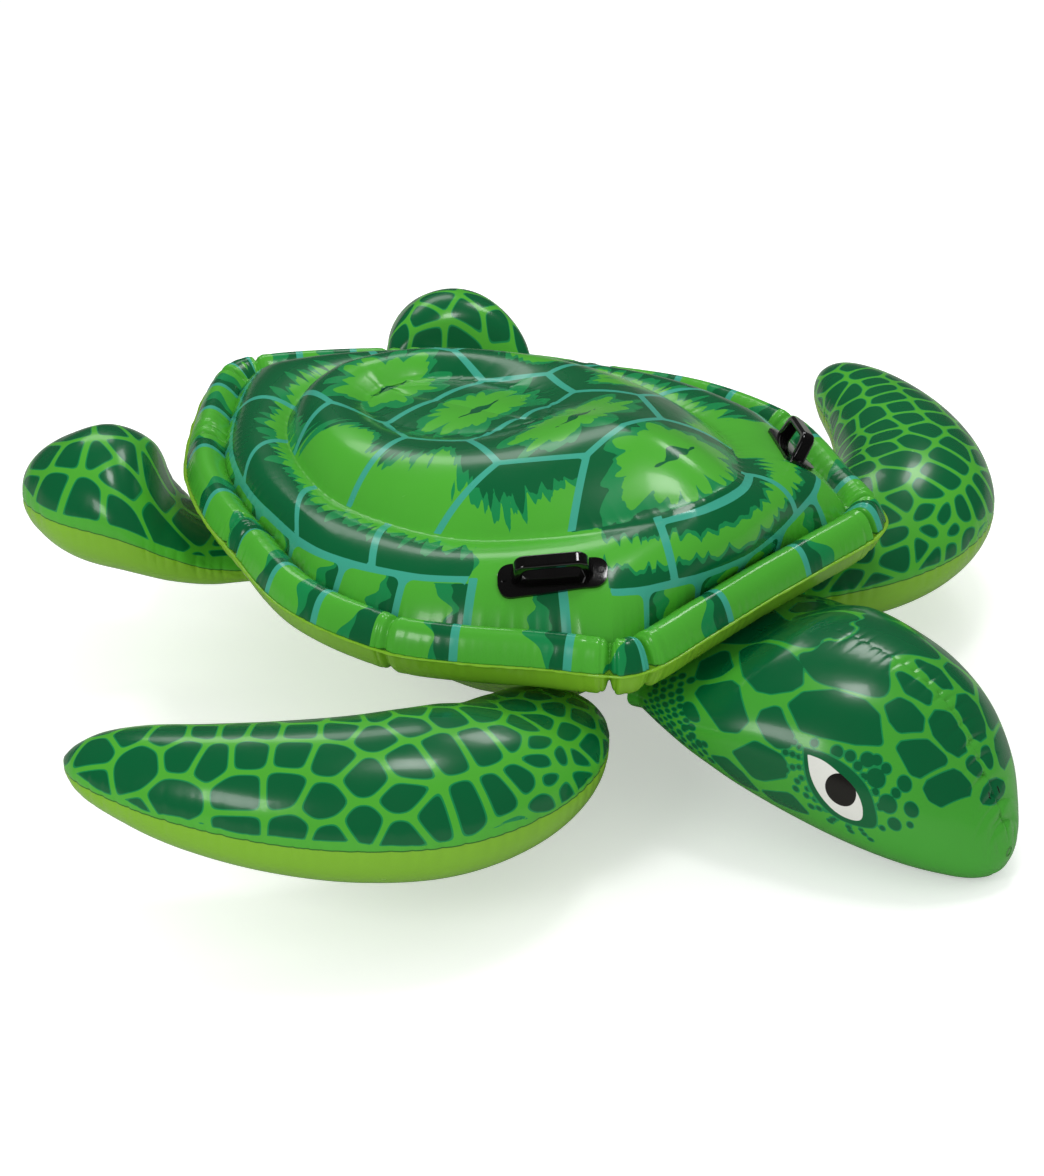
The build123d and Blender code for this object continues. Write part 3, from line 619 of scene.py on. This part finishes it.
# welds lie in a narrow gutter
for col, sinks in ((NV - 1, ((0, 1.8), (1, 0.6))), (NV + ND - 2, ((0, 2.6), (1, 1.5), (2, 0.5)))):
    for k, dz in sinks:
        for c in {col - k, col + k}:
            disp[:, c] -= dz
disp[:, -1] = disp[:, -2]
top = top + n_top * disp[..., None]
seat = mesh_grid("seat_sheet_printed", top, wrap_u=True, flip=False, attrs=att)
use(seat, MAT_SHELL)
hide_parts("shell_top_sheet")
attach(seat, "shell")

# ---------------------------------------------------------------- edge tube
def resample(curve, q):
    return np.array([np.interp(q, U, curve[:, k]) for k in range(curve.shape[1])]).T


KINKS = [(0.158, 1.7), (0.199, 1.9), (0.385, 0.75), (0.605, 0.7), (0.628, 0.5), (0.818, 0.8), (0.835, 0.4), (0.972, 0.8)]
STRIPE_U = [0.055, 0.166, 0.233, 0.325, 0.398, 0.458, 0.525, 0.600, 0.683, 0.783, 0.870, 0.925, 0.985]
LS = np.linalg.norm(np.diff(S, axis=0), axis=1).sum()
UR = [U]
for _b, _a in KINKS:
    UR.append(_b + np.linspace(-16, 16, 33) / LS)
UR = np.unique(np.clip(np.round(np.concatenate(UR), 5), 0, 1))
UR = UR[np.r_[True, np.diff(UR) > 0.0004]]
UR[0], UR[-1] = 0.0, 1.0
_S, _V, _A, _N, _U, _NB = S, V, A, NIN, U, NB
S, V, A, NIN = (resample(x, UR) for x in (_S, _V, _A, _N))
U, NB = UR, len(UR)
sV, LV = run_length(whole(V[:, None])[:, 0])
MT, MB = 30, 26
vt, vbm = np.linspace(0, 1, MT), np.linspace(0, 1, MB)
sidet = np.c_[-NIN * 0.15, np.ones(NB)]
sidet /= np.linalg.norm(sidet, axis=1)[:, None]
sideb = np.c_[-NIN * 0.15, -np.ones(NB)]
sideb /= np.linalg.norm(sideb, axis=1)[:, None]
rim_t = arc(S, V, np.full(NB, RIM_CROWN * GRADE), vt, sidet)
rim_b = arc(S, A, np.full(NB, RIM_BELLY * GRADE), vbm, sideb)
rim = np.concatenate([rim_t[:, ::-1], rim_b[:, 1:]], 1)          # V ... S ... A
nrim = MT + MB - 1
uu = np.repeat(U[:, None], nrim, 1)
v_top = np.r_[vt[::-1], np.zeros(MB - 1)]
seam_d = np.r_[-vt[::-1] * 62, vbm[1:] * 55]                     # mm from the seam, below positive
vv = np.repeat(v_top[None], NB, 0)
line = np.full(uu.shape, -50.0)
dark, mid = line.copy(), line.copy()
r = np.random.default_rng(12)
for k, b in enumerate(STRIPE_U):
    x = (uu - b) * LS
    wav = 5 * np.sin(vv * 6 + r.uniform(0, 6)) + 2.5 * np.sin(vv * 15 + r.uniform(0, 6))
    big = 12 * np.sin(vv * 5.2 + r.uniform(0, 6))
    if b not in (0.398,):
        line = np.maximum(line, 4.8 - np.abs(x))
    dark = np.maximum(dark, np.minimum(x + 1, 22 + wav - x))
    mid = np.maximum(mid, np.minimum(x, 34 + wav + big - x))
att = {"p_dark": both(dark), "p_mid": both(mid), "p_line": both(line), "p_lime": both(np.repeat(seam_d[None], NB, 0))}
pinch = np.zeros(NB)
lips = np.zeros(NB)
for b, a in KINKS:
    x = (U - b) * LS
    pinch += a * (0.75 * np.exp(-(x / 3.6) ** 2) + 0.25 * np.exp(-(x / 14) ** 2))
    lips += a * np.exp(-((np.abs(x) - 11) / 6) ** 2)
tube = whole(rim)
centre = tube.mean(1, keepdims=True)
pin2, lip2 = both(pinch[:, None]), both(lips[:, None])
around = np.clip(np.sin(np.linspace(0, np.pi, nrim)), 0, 1)[None] ** 0.4
soft = 0.34 * pin2 * around
tube = tube + (centre - tube) * soft[..., None]
n_rim = ring_normals(tube)
if n_rim[0, 4, 2] < 0:
    n_rim = -n_rim
sS, LSS = run_length(whole(S[:, None])[:, 0])
rd = np.abs(np.repeat(seam_d[None], len(tube), 0))
dis = -2.0 * puckers(sS, 12, 51, LSS)[:, None] * fall(rd, 13)
dis += -1.5 * puckers(sV, 16, 52, LV)[:, None] * fall(62 - rd, 16) * (seam_d[None] < 0)
dis += 1.3 * lip2 * around
# fan of crumples beside each kink
for b, a in KINKS:
    x = (both(U[:, None])[:, 0] - b) * LS
    f = np.exp(-(x / 26) ** 2) * a
    dis -= 1.5 * (f * (1 - np.abs(np.sin(x / 5.5 + 1.3))) ** 2)[:, None] * around
dis *= (np.linspace(0, 1, nrim) * (1 - np.linspace(0, 1, nrim)) * 4)[None] ** 0.15
tube = tube + n_rim * dis[..., None]
rimo = mesh_grid("edge_tube_printed", tube, wrap_u=True, attrs=att)
use(rimo, MAT_RIM)
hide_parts("rim_top_strip", "rim_bottom_strip")
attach(rimo, "shell")

# weld flange round the outer seam: a thin double lip of film
SF = whole(S[:, None])[:, 0]
out_dir = whole(np.c_[-NIN, np.zeros(NB)][:, None])[:, 0]
out_dir /= np.linalg.norm(out_dir, axis=1)[:, None]
lipw = 3.0 + 0.7 * wobble(sS, 30, 61, LSS)
rise = 0.7 * wobble(sS, 9, 62, LSS)
prof = []
for o, z in ((-2.0, 0.8), (0.0, 0.75), (1.0, 0.45), (1.0, -0.45), (0.0, -0.75), (-2.0, -0.8)):
    q = SF + out_dir * (np.where(o > 0, lipw, o))[:, None]
    q = q + np.array([0, 0, 1.0]) * (z + rise * (o > 0))[:, None]
    prof.append(q)
lip = mesh_grid("edge_weld_lip", np.stack(prof, 1), wrap_u=True, wrap_v=True, flip=True)
use(lip, MAT_LIME)
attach(lip, "shell")

S, V, A, NIN, U, NB = _S, _V, _A, _N, _U, _NB

# ---------------------------------------------------------------- belly sheet
nt = 46
tb = np.linspace(0, 1, nt) ** 0.85
MM = np.zeros((NB, 3))
MM[:, 1] = np.interp(U, [0, 0.15, 0.85, 1], [-40, -15, 50, 75]) * GRADE
Bg = np.zeros((NB, nt, 3))
Bg[..., :2] = A[:, None, :2] * (1 - tb[None, :, None]) + MM[:, None, :2] * tb[None, :, None]
Bg[..., 2] = A[:, None, 2] * (1 - np.sin(tb * np.pi / 2) ** BELLY_SHAPE)[None]
belly = whole(Bg)
n_b = ring_normals(belly)
if n_b[0, 5, 2] > 0:
    n_b = -n_b
sA, LA = run_length(whole(A[:, None])[:, 0])
bd2 = tb[None] * np.linalg.norm(whole(A[:, None])[:, 0] - whole(MM[:, None])[:, 0], axis=1)[:, None]
belly = belly + n_b * (-2.2 * puckers(sA, 24, 71, LA)[:, None] * fall(bd2, 42) * (1 - tb[None]) ** 0.5)[..., None]
belly[..., 2] = np.maximum(belly[..., 2], 0.0)
bel = mesh_grid("belly_sheet", belly[:, :-1], wrap_u=True, flip=True, attrs=None)
use(bel, MAT_LIME)
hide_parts("shell_bottom_sheet")
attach(bel, "shell")


# ---------------------------------------------------------------- flippers
# cell centres of the print: length along the spine, girth from the crown (mm)
FRONT_CELLS = [(646,22),(591,44),(649,61),(546,85),(543,27),(514,34),(479,29),(570,-1),(533,-10),(504,-14),(469,-13),(436,30),
               (433,-11),(401,40),(387,-9),(356,10),(345,-39),(318,-6),(297,-39),(481,75),(483,115),(442,73),(437,117),(409,88),
               (404,128),(370,67),(375,115),(344,94),(348,128),(330,55),(298,49),(321,116),(296,114),(264,50),(268,-10),(224,-1),
               (138,-47),(271,112),(231,51),(158,5),(119,-29),(245,105),(200,40),(178,41),(211,68),(134,37),(115,11),(220,89),
               (224,111),(235,129),(201,92),(165,71),(214,126),(184,100),(194,121),(161,93),(125,61),(93,25),(78,-13),(431,-49),(375,-39)]
REAR_CELLS = [(232,6),(192,-18),(172,-47),(249,44),(216,47),(187,43),(164,13),(143,-50),(159,59),(132,0),(109,-91),(226,97),
              (188,104),(148,101),(114,66),(77,9)]


def flipper(name, rows, sd, front):
    n = 340 if front else 190
    C = smooth(rows, n) * GRADE
    d = np.gradient(C[:, :2], axis=0)
    d /= np.linalg.norm(d, axis=1)[:, None]
    s = np.r_[0, np.cumsum(np.linalg.norm(np.diff(C[:, :3], axis=0), axis=1))]
    L = s[-1]
    # the root runs on into the shell as its weld collar
    k = 9
    ext = np.repeat(C[:1], k, 0)
    back = np.linspace(21.5, 2.4, k)
    ext[:, :2] -= d[0] * back[:, None]
    ext[:, 3:] *= (np.sqrt(1 - (back / 23.5) ** 2))[:, None]
    C = np.vstack([ext, C])
    d = np.vstack([np.repeat(d[:1], k, 0), d])
    s = np.r_[-back, s]
    m = 92
    v = np.linspace(0, np.pi, m)
    nrm = np.c_[d[:, 1], -d[:, 0]]

    def halfg(h, sg):
        X = C[:, None, 0] - C[:, 3][:, None] * np.cos(v) * nrm[:, None, 0]
        Y = C[:, None, 1] - C[:, 3][:, None] * np.cos(v) * nrm[:, None, 1]
        Z = C[:, None, 2] + sg * h[:, None] * np.sin(v)
        return np.stack([X * sd, Y, Z], -1)

    G = np.concatenate([halfg(C[:, 4], 1), halfg(C[:, 5], -1)[:, -2:0:-1]], 1)
    M2 = G.shape[1]
    # girth coordinate on the top half
    dst = np.linalg.norm(np.diff(G, axis=1), axis=-1)
    w = np.c_[np.zeros(len(G)), np.cumsum(dst, 1)]
    wt = w[:, m - 1]
    wc = w - wt[:, None] / 2
    topside = np.zeros(M2, bool)
    topside[:m] = True
    girth = dst.sum(1) + np.linalg.norm(G[:, 0] - G[:, -1], axis=1)
    sdist = np.minimum(w, np.abs(w - wt[:, None]))
    sdist = np.minimum(sdist, girth[:, None] - w)
    # cells
    r = np.random.default_rng(31 if front else 37)
    if front:
        size = lambda q: np.interp(q, [0, 0.12, 0.3, 0.55, 0.8, 1], [21, 27, 36, 44, 46, 34])
    else:
        size = lambda q: np.interp(q, [0, 0.3, 0.7, 1], [34, 52, 54, 36])
    seeds = []
    x, row = -12.0, 0
    while x < L + 25:
        z = size(np.clip(x / L, 0, 1))
        ww = np.interp(x, s, wt) / 2 + z
        off = (row % 2) * 0.5
        for j in range(-12, 13):
            y = (j + off) * z * 1.02
            if abs(y) < ww:
                seeds.append((x + r.uniform(-0.27, 0.27) * z, y + r.uniform(-0.25, 0.25) * z))
        x += z * 1.0
        row += 1
    set_ = np.array(FRONT_CELLS if front else REAR_CELLS, float)
    gapz = np.array([0.86 * size(np.clip(q[0] / L, 0, 1)) for q in seeds])
    seeds = np.array([q for q, z in zip(seeds, gapz) if np.hypot(*(set_ - q).T).min() > z])
    seeds = np.vstack([set_, seeds])
    P = np.stack([np.repeat(s[:, None], m, 1), wc[:, :m]], -1).reshape(-1, 2)
    e = cells(P, seeds, 7.6 if front else 8.6, 2.6).reshape(len(G), m)
    e = np.minimum(e, sdist[:, :m] - (9 if front else 19) - 4 * wobble(s, 30, 5)[:, None])
    dark = np.full(G.shape[:2], -20.0)
    dark[:, :m] = e
    mid = np.full(G.shape[:2], -20.0)
    mid[:, :m] = e + 1.3
    lime = np.where(topside[None], -sdist, sdist)
    att = {"p_dark": dark, "p_mid": mid, "p_line": np.full(G.shape[:2], -20.0), "p_lime": lime}
    # normals
    du = np.gradient(G, axis=0)
    dv = np.roll(G, -1, 1) - np.roll(G, 1, 1)
    N = np.cross(du, dv)
    N /= np.maximum(np.linalg.norm(N, axis=-1, keepdims=True), 1e-9)
    cen = G.mean(1, keepdims=True)
    N *= np.sign(((G - cen) * N).sum(-1).mean()) or 1
    fade = np.clip(np.minimum((s + 21.5) / 30, (L - s) / 30), 0, 1)[:, None]
    sx = s + 30
    near_edge = [0, m - 1]
    disp = np.zeros(G.shape[:2])
    for q, (col, sdn) in enumerate(((0, 81), (m - 1, 82))):
        dd = np.minimum(np.abs(w - w[:, col:col + 1]), np.abs(girth[:, None] - np.abs(w - w[:, col:col + 1])))
        disp -= 2.2 * puckers(sx, 15.0, sdn)[:, None] * fall(dd, 17)
        disp -= 0.9 * puckers(sx, 6.4, sdn + 5)[:, None] * fall(dd, 4.5)
        disp -= 0.9 * fall(dd, 1.8)
    # creases that run from the root
    rootf = np.exp(-np.clip(s, 0, None) / 38)[:, None]
    disp -= 2.0 * puckers(w + 40, 21, 84) * rootf
    G = G + N * (disp * fade)[..., None]
    # caps: the root closed at its centre, the tip at a point just past the end of the spine
    last = C[-1].copy()
    tip = (last[0] * sd + d[-1][0] * sd * 1.5, last[1] + d[-1][1] * 1.5, last[2])
    ob = mesh_grid(name, G, wrap_v=True, flip=(sd > 0), caps=(True, tip), attrs=att)
    use(ob, MAT_FLIP)
    return ob, C, d, s


for nm, rows in (("front", FRONT_FLIPPER), ("rear", REAR_FLIPPER)):
    for word, sd in (("left", 1), ("right", -1)):
        ob, C, d, s = flipper(f"{nm}_{word}_flipper_skin", rows, sd, nm == "front")
        body = f"{nm}_{word}_flipper"
        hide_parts(f"{body}_top", f"{body}_bottom", f"{nm}_{word}_weld_ring")
        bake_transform(ob)

# ---------------------------------------------------------------- head
HP = {
'crown_back': [(-0.03,-0.04),(0.10,-0.04),(0.30,-0.04),(0.352,-0.04),(0.346,0.034),(0.327,0.03),(0.315,0.055),(0.327,0.085),(0.291,0.099),(0.234,0.079),(0.16,0.045),(0.06,0.10),(-0.03,0.14)],
'crown': [(0.308,0.127),(0.338,0.108),(0.332,0.055),(0.362,0.052),(0.372,-0.04),(0.44,-0.04),(0.468,0.045),(0.509,0.107),(0.506,0.146),(0.442,0.167),(0.393,0.184),(0.363,0.171)],
'neck1': [(0.111,0.249),(0.084,0.188),(0.103,0.115),(0.175,0.19),(0.166,0.219)],
'round': [(0.138,0.104),(0.145,0.075),(0.202,0.094),(0.282,0.128),(0.335,0.160),(0.360,0.209),(0.350,0.235),(0.317,0.262),(0.289,0.265),(0.236,0.225)],
'side1': [(0.143,0.304),(0.14,0.27),(0.21,0.25),(0.239,0.268),(0.300,0.366),(0.288,0.41),(0.257,0.424),(0.22,0.384)],
'side2': [(0.32,0.324),(0.346,0.293),(0.371,0.328),(0.398,0.357),(0.398,0.394),(0.377,0.409),(0.352,0.396),(0.332,0.351)],
'brow': [(0.365,0.276),(0.377,0.232),(0.426,0.192),(0.489,0.178),(0.525,0.192),(0.562,0.263),(0.515,0.298),(0.45,0.322),(0.41,0.330),(0.386,0.3)],
'fore1': [(0.529,0.157),(0.540,0.112),(0.564,0.104),(0.600,0.112),(0.615,0.149),(0.579,0.200),(0.555,0.188)],
'fore2': [(0.595,0.246),(0.597,0.223),(0.640,0.160),(0.698,0.145),(0.698,0.17),(0.665,0.277),(0.645,0.288),(0.614,0.262)],
'snout1': [(0.689,0.303),(0.689,0.27),(0.727,0.152),(0.745,0.135),(0.784,0.128),(0.793,0.168),(0.742,0.318),(0.712,0.325)],
'cheek1': [(0.292,0.490),(0.332,0.421),(0.388,0.431),(0.400,0.447),(0.403,0.493),(0.355,0.547),(0.336,0.556)],
'cheek2': [(0.349,0.607),(0.414,0.553),(0.424,0.566),(0.448,0.610),(0.416,0.628),(0.37,0.640)],
'mid1': [(0.617,0.105),(0.612,0.062),(0.632,0.022),(0.690,0.020),(0.715,0.047),(0.711,0.098),(0.682,0.124),(0.643,0.128)],
'mid0': [(0.491,0.04),(0.524,0.028),(0.575,0.024),(0.592,0.064),(0.541,0.082)],
'mid2': [(0.739,0.094),(0.735,0.040),(0.748,0.020),(0.782,0.024),(0.776,0.074)],
'neck2': [(0.133,0.368),(0.145,0.346),(0.192,0.41),(0.184,0.429),(0.156,0.416)],
'jaw': [(0.236,0.555),(0.274,0.529),(0.308,0.561),(0.337,0.622),(0.294,0.639)],
}
NOSTRIL = [(0.806,-0.04),(0.812,0.070),(0.830,0.142),(0.853,0.092),(0.862,0.045),(0.866,-0.04)]
EYE = [(0.441,0.392),(0.472,0.388),(0.511,0.406),(0.545,0.428),(0.566,0.472),(0.568,0.525),(0.550,0.545),(0.516,0.545),(0.483,0.508),(0.458,0.458)]
LID = [(0.430,0.378),(0.474,0.366),(0.528,0.375),(0.574,0.410),(0.598,0.485),(0.598,0.535),(0.573,0.555),(0.535,0.566),(0.504,0.558),(0.474,0.523),(0.450,0.468)]
IRIS, IRIS_R = (0.5185, 0.4535), 15.5
SPOTS = [(0.538,0.356,5.1),(0.58,0.364,11.0),(0.592,0.32,5.9),(0.641,0.331,9.5),(0.63,0.376,6.0),(0.62,0.426,11.5),(0.587,0.406,4.2),
         (0.603,0.449,4.5),(0.677,0.403,10.5),(0.643,0.491,9.2),(0.614,0.528,3.6),(0.682,0.467,4.7),(0.556,0.378,4.2),(0.49,0.345,6.6),
         (0.517,0.339,6.0),(0.551,0.325,8.0),(0.568,0.312,6.0),(0.443,0.350,4.2),(0.162,0.48,5.5),(0.179,0.462,6.0),(0.184,0.507,5.0),
         (0.203,0.53,5.2),(0.219,0.515,4.2)]

nh, mh = 290, 246
C = smooth(HEAD, nh) * GRADE
ys = C[:, 0]
sh = np.r_[0, np.cumsum(np.abs(np.diff(ys)))]
s3 = np.r_[0, np.cumsum(np.linalg.norm(np.diff(C[:, :2], axis=0), axis=1))]
k = 9
ext = np.repeat(C[:1], k, 0)
back = np.linspace(13.5, 1.5, k)
ext[:, 0] += back
ext[:, 2] += back / 13.5 * 3
ext[:, 3] += back / 13.5 * 3
ext[:, 4] -= back / 13.5 * 3
tt = np.r_[-back / 500.0, np.linspace(0, 1, nh)]
C = np.vstack([ext, C])
v = np.linspace(0, np.pi, mh)
X = C[:, 2][:, None] * np.sin(v)
zc, zt, zb = C[:, 1][:, None], C[:, 3][:, None], C[:, 4][:, None]
Z = np.where(np.cos(v)[None] > 0, zc + (zt - zc) * np.cos(v), zc + (zc - zb) * np.cos(v))
Hd = np.stack([X, np.repeat(C[:, :1], mh, 1), Z], -1)
girth = np.linalg.norm(np.diff(Hd, axis=1), axis=-1)
w = np.c_[np.zeros(len(Hd)), np.cumsum(girth, 1)]
# metric map of the print: along the head, and girth at mean size
AL, GR = 480.0, 430.0
P = np.stack([np.repeat(tt[:, None], mh, 1) * AL, np.repeat((v / np.pi)[None], len(Hd), 0) * GR * 1.0], -1)
sc = np.array([AL, GR])
dark = np.full(P.shape[:2], -30.0)
def rounded(P, pts, r):
    """Polygon with its convex corners rounded to about r."""
    pts = np.asarray(pts, float)
    a, b = np.roll(pts, 1, 0) - pts, np.roll(pts, -1, 0) - pts
    a /= np.linalg.norm(a, axis=1)[:, None]
    b /= np.linalg.norm(b, axis=1)[:, None]
    area2 = np.sum(pts[:, 0] * np.roll(pts[:, 1], -1) - np.roll(pts[:, 0], -1) * pts[:, 1])
    turn = (-a[:, 0] * b[:, 1] + a[:, 1] * b[:, 0]) * -np.sign(area2)
    m_ = a + b
    L_ = np.linalg.norm(m_, axis=1)[:, None]
    m_ = m_ / np.maximum(L_, 1e-6)
    half_ = np.arccos(np.clip((a * b).sum(1), -1, 1)) / 2
    step_ = np.clip(r / np.maximum(np.sin(half_), 0.45), 0, 2.0 * r)
    convex = np.sign(np.cross(b, a) * np.sign(area2))
    inner = pts + m_ * (step_ * convex)[:, None]
    return poly(P, inner) + r


def cut_corners(pts, n=2):
    """Closed outline with its corners cut n times; a corner given twice in a row stays sharp."""
    pts = np.asarray(pts, float)
    for _ in range(n):
        nx = np.roll(pts, -1, 0)
        pts = np.stack([pts * 0.75 + nx * 0.25, pts * 0.25 + nx * 0.75], 1).reshape(-1, 2)
    return pts[np.linalg.norm(np.roll(pts, -1, 0) - pts, axis=1) > 1e-6]


for nm, pts in HP.items():
    if nm in ("crown", "crown_back", "mid2", "neck2"):
        dark = np.maximum(dark, poly(P, cut_corners(np.array(pts) * sc)) + 2.2)
    else:
        dark = np.maximum(dark, rounded(P, np.array(pts) * sc, 4.6) + 1.7)
nos = rounded(P, np.array(NOSTRIL) * sc, 4.0)
dark = np.maximum(dark, nos)
r = np.random.default_rng(77)
# scales by the neck and round the eye
dots = []
for i in range(8):
    for j in range(13):
        a = 0.03 + i * 0.0285 + (j % 2) * 0.014
        b = 0.235 + j * 0.0290
        lim = 0.150 + (b - 0.33) * 0.42
        if a < lim - 0.02 and b > 0.27 - a * 0.2:
            dots.append((a + r.uniform(-0.003, 0.003), b + r.uniform(-0.002, 0.002), 3.3 + 1.5 * r.random() + 0.8 * (b - 0.3)))
for ring_, (off, step, rad) in enumerate(((0.026, 0.0225, 2.7), (0.052, 0.0255, 3.1), (0.080, 0.030, 3.4))):
    e_ = np.array(EYE + [EYE[0]])
    idx = [9, 8, 7, 6]
    pts = np.array([EYE[0], EYE[9], EYE[8], EYE[7], EYE[6], (0.575, 0.556)])
    cen_ = np.array([0.53, 0.44])
    L_ = np.r_[0, np.cumsum(np.linalg.norm(np.diff(pts * sc, axis=0), axis=1))]
    for q in np.arange(0, L_[-1], step * 480):
        p = np.array([np.interp(q, L_, pts[:, 0]), np.interp(q, L_, pts[:, 1])])
        o = (p - cen_) * sc
        o /= np.linalg.norm(o)
        p = p + o * (off * 480 * 0.55 + 5) / sc
        dots.append((p[0], p[1], rad))
for a, b, rr in dots + SPOTS:
    q = (P - np.array([a, b]) * sc) / [0.86, 1.2]
    dark = np.maximum(dark, rr - np.linalg.norm(q, axis=-1))
lid = poly(P, cut_corners(np.array(LID[:1] + LID) * sc)) + 1.2
eye = poly(P, cut_corners(np.array(EYE[:1] + EYE) * sc)) + 1.1
iris = np.minimum(19.0 - np.linalg.norm((P - np.array(IRIS) * sc) / [0.82, 1.22], axis=-1), eye + 0.8)
white = eye
line_b = np.full(P.shape[:2], -30.0)
nostril_c = 3.6 - np.linalg.norm((P - np.array([0.838, 0.045]) * sc) / [1.35, 0.8], axis=-1)
black = np.maximum(iris, nostril_c)
# keep the print clear of the eye
clear = lid + 4.0
dark = np.where(clear > 0, np.minimum(dark, -clear), dark)
dark = np.maximum(dark, lid)
mid = dark + 1.6
mid = np.where(eye > 0, dark, mid)


def head_full(a, sign=False):
    b = a[:, -2:0:-1]
    if sign:
        b = b * [-1, 1, 1]
    return np.concatenate([a, b], 1)


G = head_full(Hd, True)
att = {k2: head_full(a) for k2, a in dict(p_dark=dark, p_mid=mid, p_line=line_b, p_white=white, p_black=black).items()}
du = np.gradient(G, axis=0)
dv = np.roll(G, -1, 1) - np.roll(G, 1, 1)
N = np.cross(du, dv)
N /= np.maximum(np.linalg.norm(N, axis=-1, keepdims=True), 1e-9)
cen = G.mean(1, keepdims=True)
N *= np.sign(((G - cen) * N).sum(-1).mean()) or 1
wf = head_full(w)
tot = w[:, -1:]
dtop = wf
dbot = tot - wf
arcs = np.r_[-back, s3][:, None] + 20
gain = np.interp(tt, [0, 0.45, 0.6, 0.9, 0.98, 1], [0.15, 0.3, 1.0, 1.3, 1.0, 0])[:, None]
sgn = np.ones(G.shape[1])
sgn[mh:] = 0
pt = puckers(arcs, 15, 91) * (sgn > 0) + puckers(arcs + 3, 16, 92) * (sgn == 0)
disp = -4.6 * pt * fall(dtop, 19) * gain
pb = puckers(arcs, 17, 93)
disp -= 2.6 * pb * fall(dbot, 20) * np.interp(tt, [0, 0.6, 0.95, 1], [0.2, 0.4, 1.3, 0])[:, None]
nosef = np.exp(-((tt - 0.915) / 0.07) ** 2)[:, None]
seamd = np.minimum(dtop, dbot)
disp -= 4.6 * puckers(arcs * 0 + wf * 0 + arcs, 13.5, 94) * fall(dtop, 34) * nosef
disp -= 0.9 * fall(dtop, 1.8) * gain
# long folds round the chin and nose
fold = puckers(wf * 1.0 + 60, 30, 95)
disp -= 2.2 * fold * np.exp(-((tt - 0.97) / 0.06) ** 2)[:, None] * (dbot < 220)
disp *= np.interp(tt, [-0.03, 0.0, 0.955, 0.985, 1], [0.3, 1, 1, 0.15, 0])[:, None]
G = G + N * disp[..., None]
G[..., 2] = np.maximum(G[..., 2], 0.3)
tip = (0, C[-1, 0] - 0.6, C[-1, 1])
head = mesh_grid("head_skin", G, wrap_v=True, flip=False, caps=(True, tip), attrs=att)
use(head, MAT_HEAD)
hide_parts("head_left_panel", "head_right_panel", "neck_weld_ring")
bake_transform(head)

# ---------------------------------------------------------------- carried-over nodes
for n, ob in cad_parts.items():
    if n.endswith("_handle"):
        use(ob, MAT_BLACK)
    elif "valve" in n:
        use(ob, MAT_VALVE)
    elif n.startswith("web") or n.endswith("patch"):
        use(ob, MAT_WEB)
    else:
        use(ob, MAT_LIME)

# ---------------------------------------------------------------- floor, lights, camera
bpy.ops.mesh.primitive_plane_add(size=40, location=(0, 0, -0.0006))
floor = bpy.context.object
floor.name = "floor"
fm = Nodes("floor_white")
fm.b.inputs["Roughness"].default_value = 0.8
fm.b.inputs["Specular IOR Level"].default_value = 0.1
flp = fm.new("ShaderNodeLightPath")
fm.link(fm.math("MULTIPLY", flp.outputs["Is Camera Ray"], 0.42), fm.b.inputs["Emission Strength"])
fm.link(fm.mix(flp.outputs["Is Glossy Ray"], [0.93, 0.93, 0.93, 1.0], [0.38, 0.40, 0.36, 1.0]), fm.b.inputs["Base Color"])
fm.b.inputs["Emission Color"].default_value = (1, 1, 1, 1)
use(floor, fm.mat)

world = bpy.data.worlds.new("studio")
bpy.context.scene.world = world
world.use_nodes = True
wt_ = world.node_tree
bg = wt_.nodes["Background"]
bg.inputs[0].default_value = (1, 1, 1, 1)
lp = wt_.nodes.new("ShaderNodeLightPath")
mr = wt_.nodes.new("ShaderNodeMapRange")
mr.inputs["To Min"].default_value = 0.66
mr.inputs["To Max"].default_value = 0.05
wt_.links.new(lp.outputs["Is Glossy Ray"], mr.inputs["Value"])
mc = wt_.nodes.new("ShaderNodeMath")
mc.operation = "MAXIMUM"
wt_.links.new(mr.outputs[0], mc.inputs[0])
wt_.links.new(lp.outputs["Is Camera Ray"], mc.inputs[1])
wt_.links.new(mc.outputs[0], bg.inputs[1])


def area(name, loc, aim, size, power, sy=None):
    l = bpy.data.lights.new(name, "AREA")
    l.shape = "RECTANGLE"
    l.size, l.size_y = size, sy or size
    l.energy = power
    ob = bpy.data.objects.new(name, l)
    bpy.context.scene.collection.objects.link(ob)
    ob.location = loc
    from mathutils import Vector
    ob.rotation_euler = (Vector(aim) - Vector(loc)).to_track_quat("-Z", "Y").to_euler()
    return ob


area("key_softbox", (0.22, -0.35, 2.7), (0, -0.1, 0.2), 0.55, 11, 0.55)
area("right_softbox", (1.75, 0.30, 2.05), (0, -0.2, 0.3), 0.6, 7, 0.6)
area("back_softbox", (0.9, 1.7, 2.0), (0, 0.1, 0.25), 1.6, 8, 0.5)
area("side_softbox", (-2.6, -0.4, 1.7), (0, 0.1, 0.25), 0.8, 14, 0.8)

cam = bpy.data.cameras.new("view")
cam.lens, cam.sensor_width, cam.sensor_fit = 73.47, 36.0, "AUTO"
co = bpy.data.objects.new("view", cam)
bpy.context.scene.collection.objects.link(co)
from mathutils import Vector
az, el, D = math.radians(-48.5), math.radians(28.0), 3.027
backv = Vector((math.sin(az) * math.cos(el), -math.cos(az) * math.cos(el), math.sin(el)))
co.location = Vector((0, 0, 0.1194)) + backv * D
co.rotation_euler = (-backv).to_track_quat("-Z", "Y").to_euler()
bpy.context.scene.camera = co
bpy.context.scene.view_settings.view_transform = "Standard"
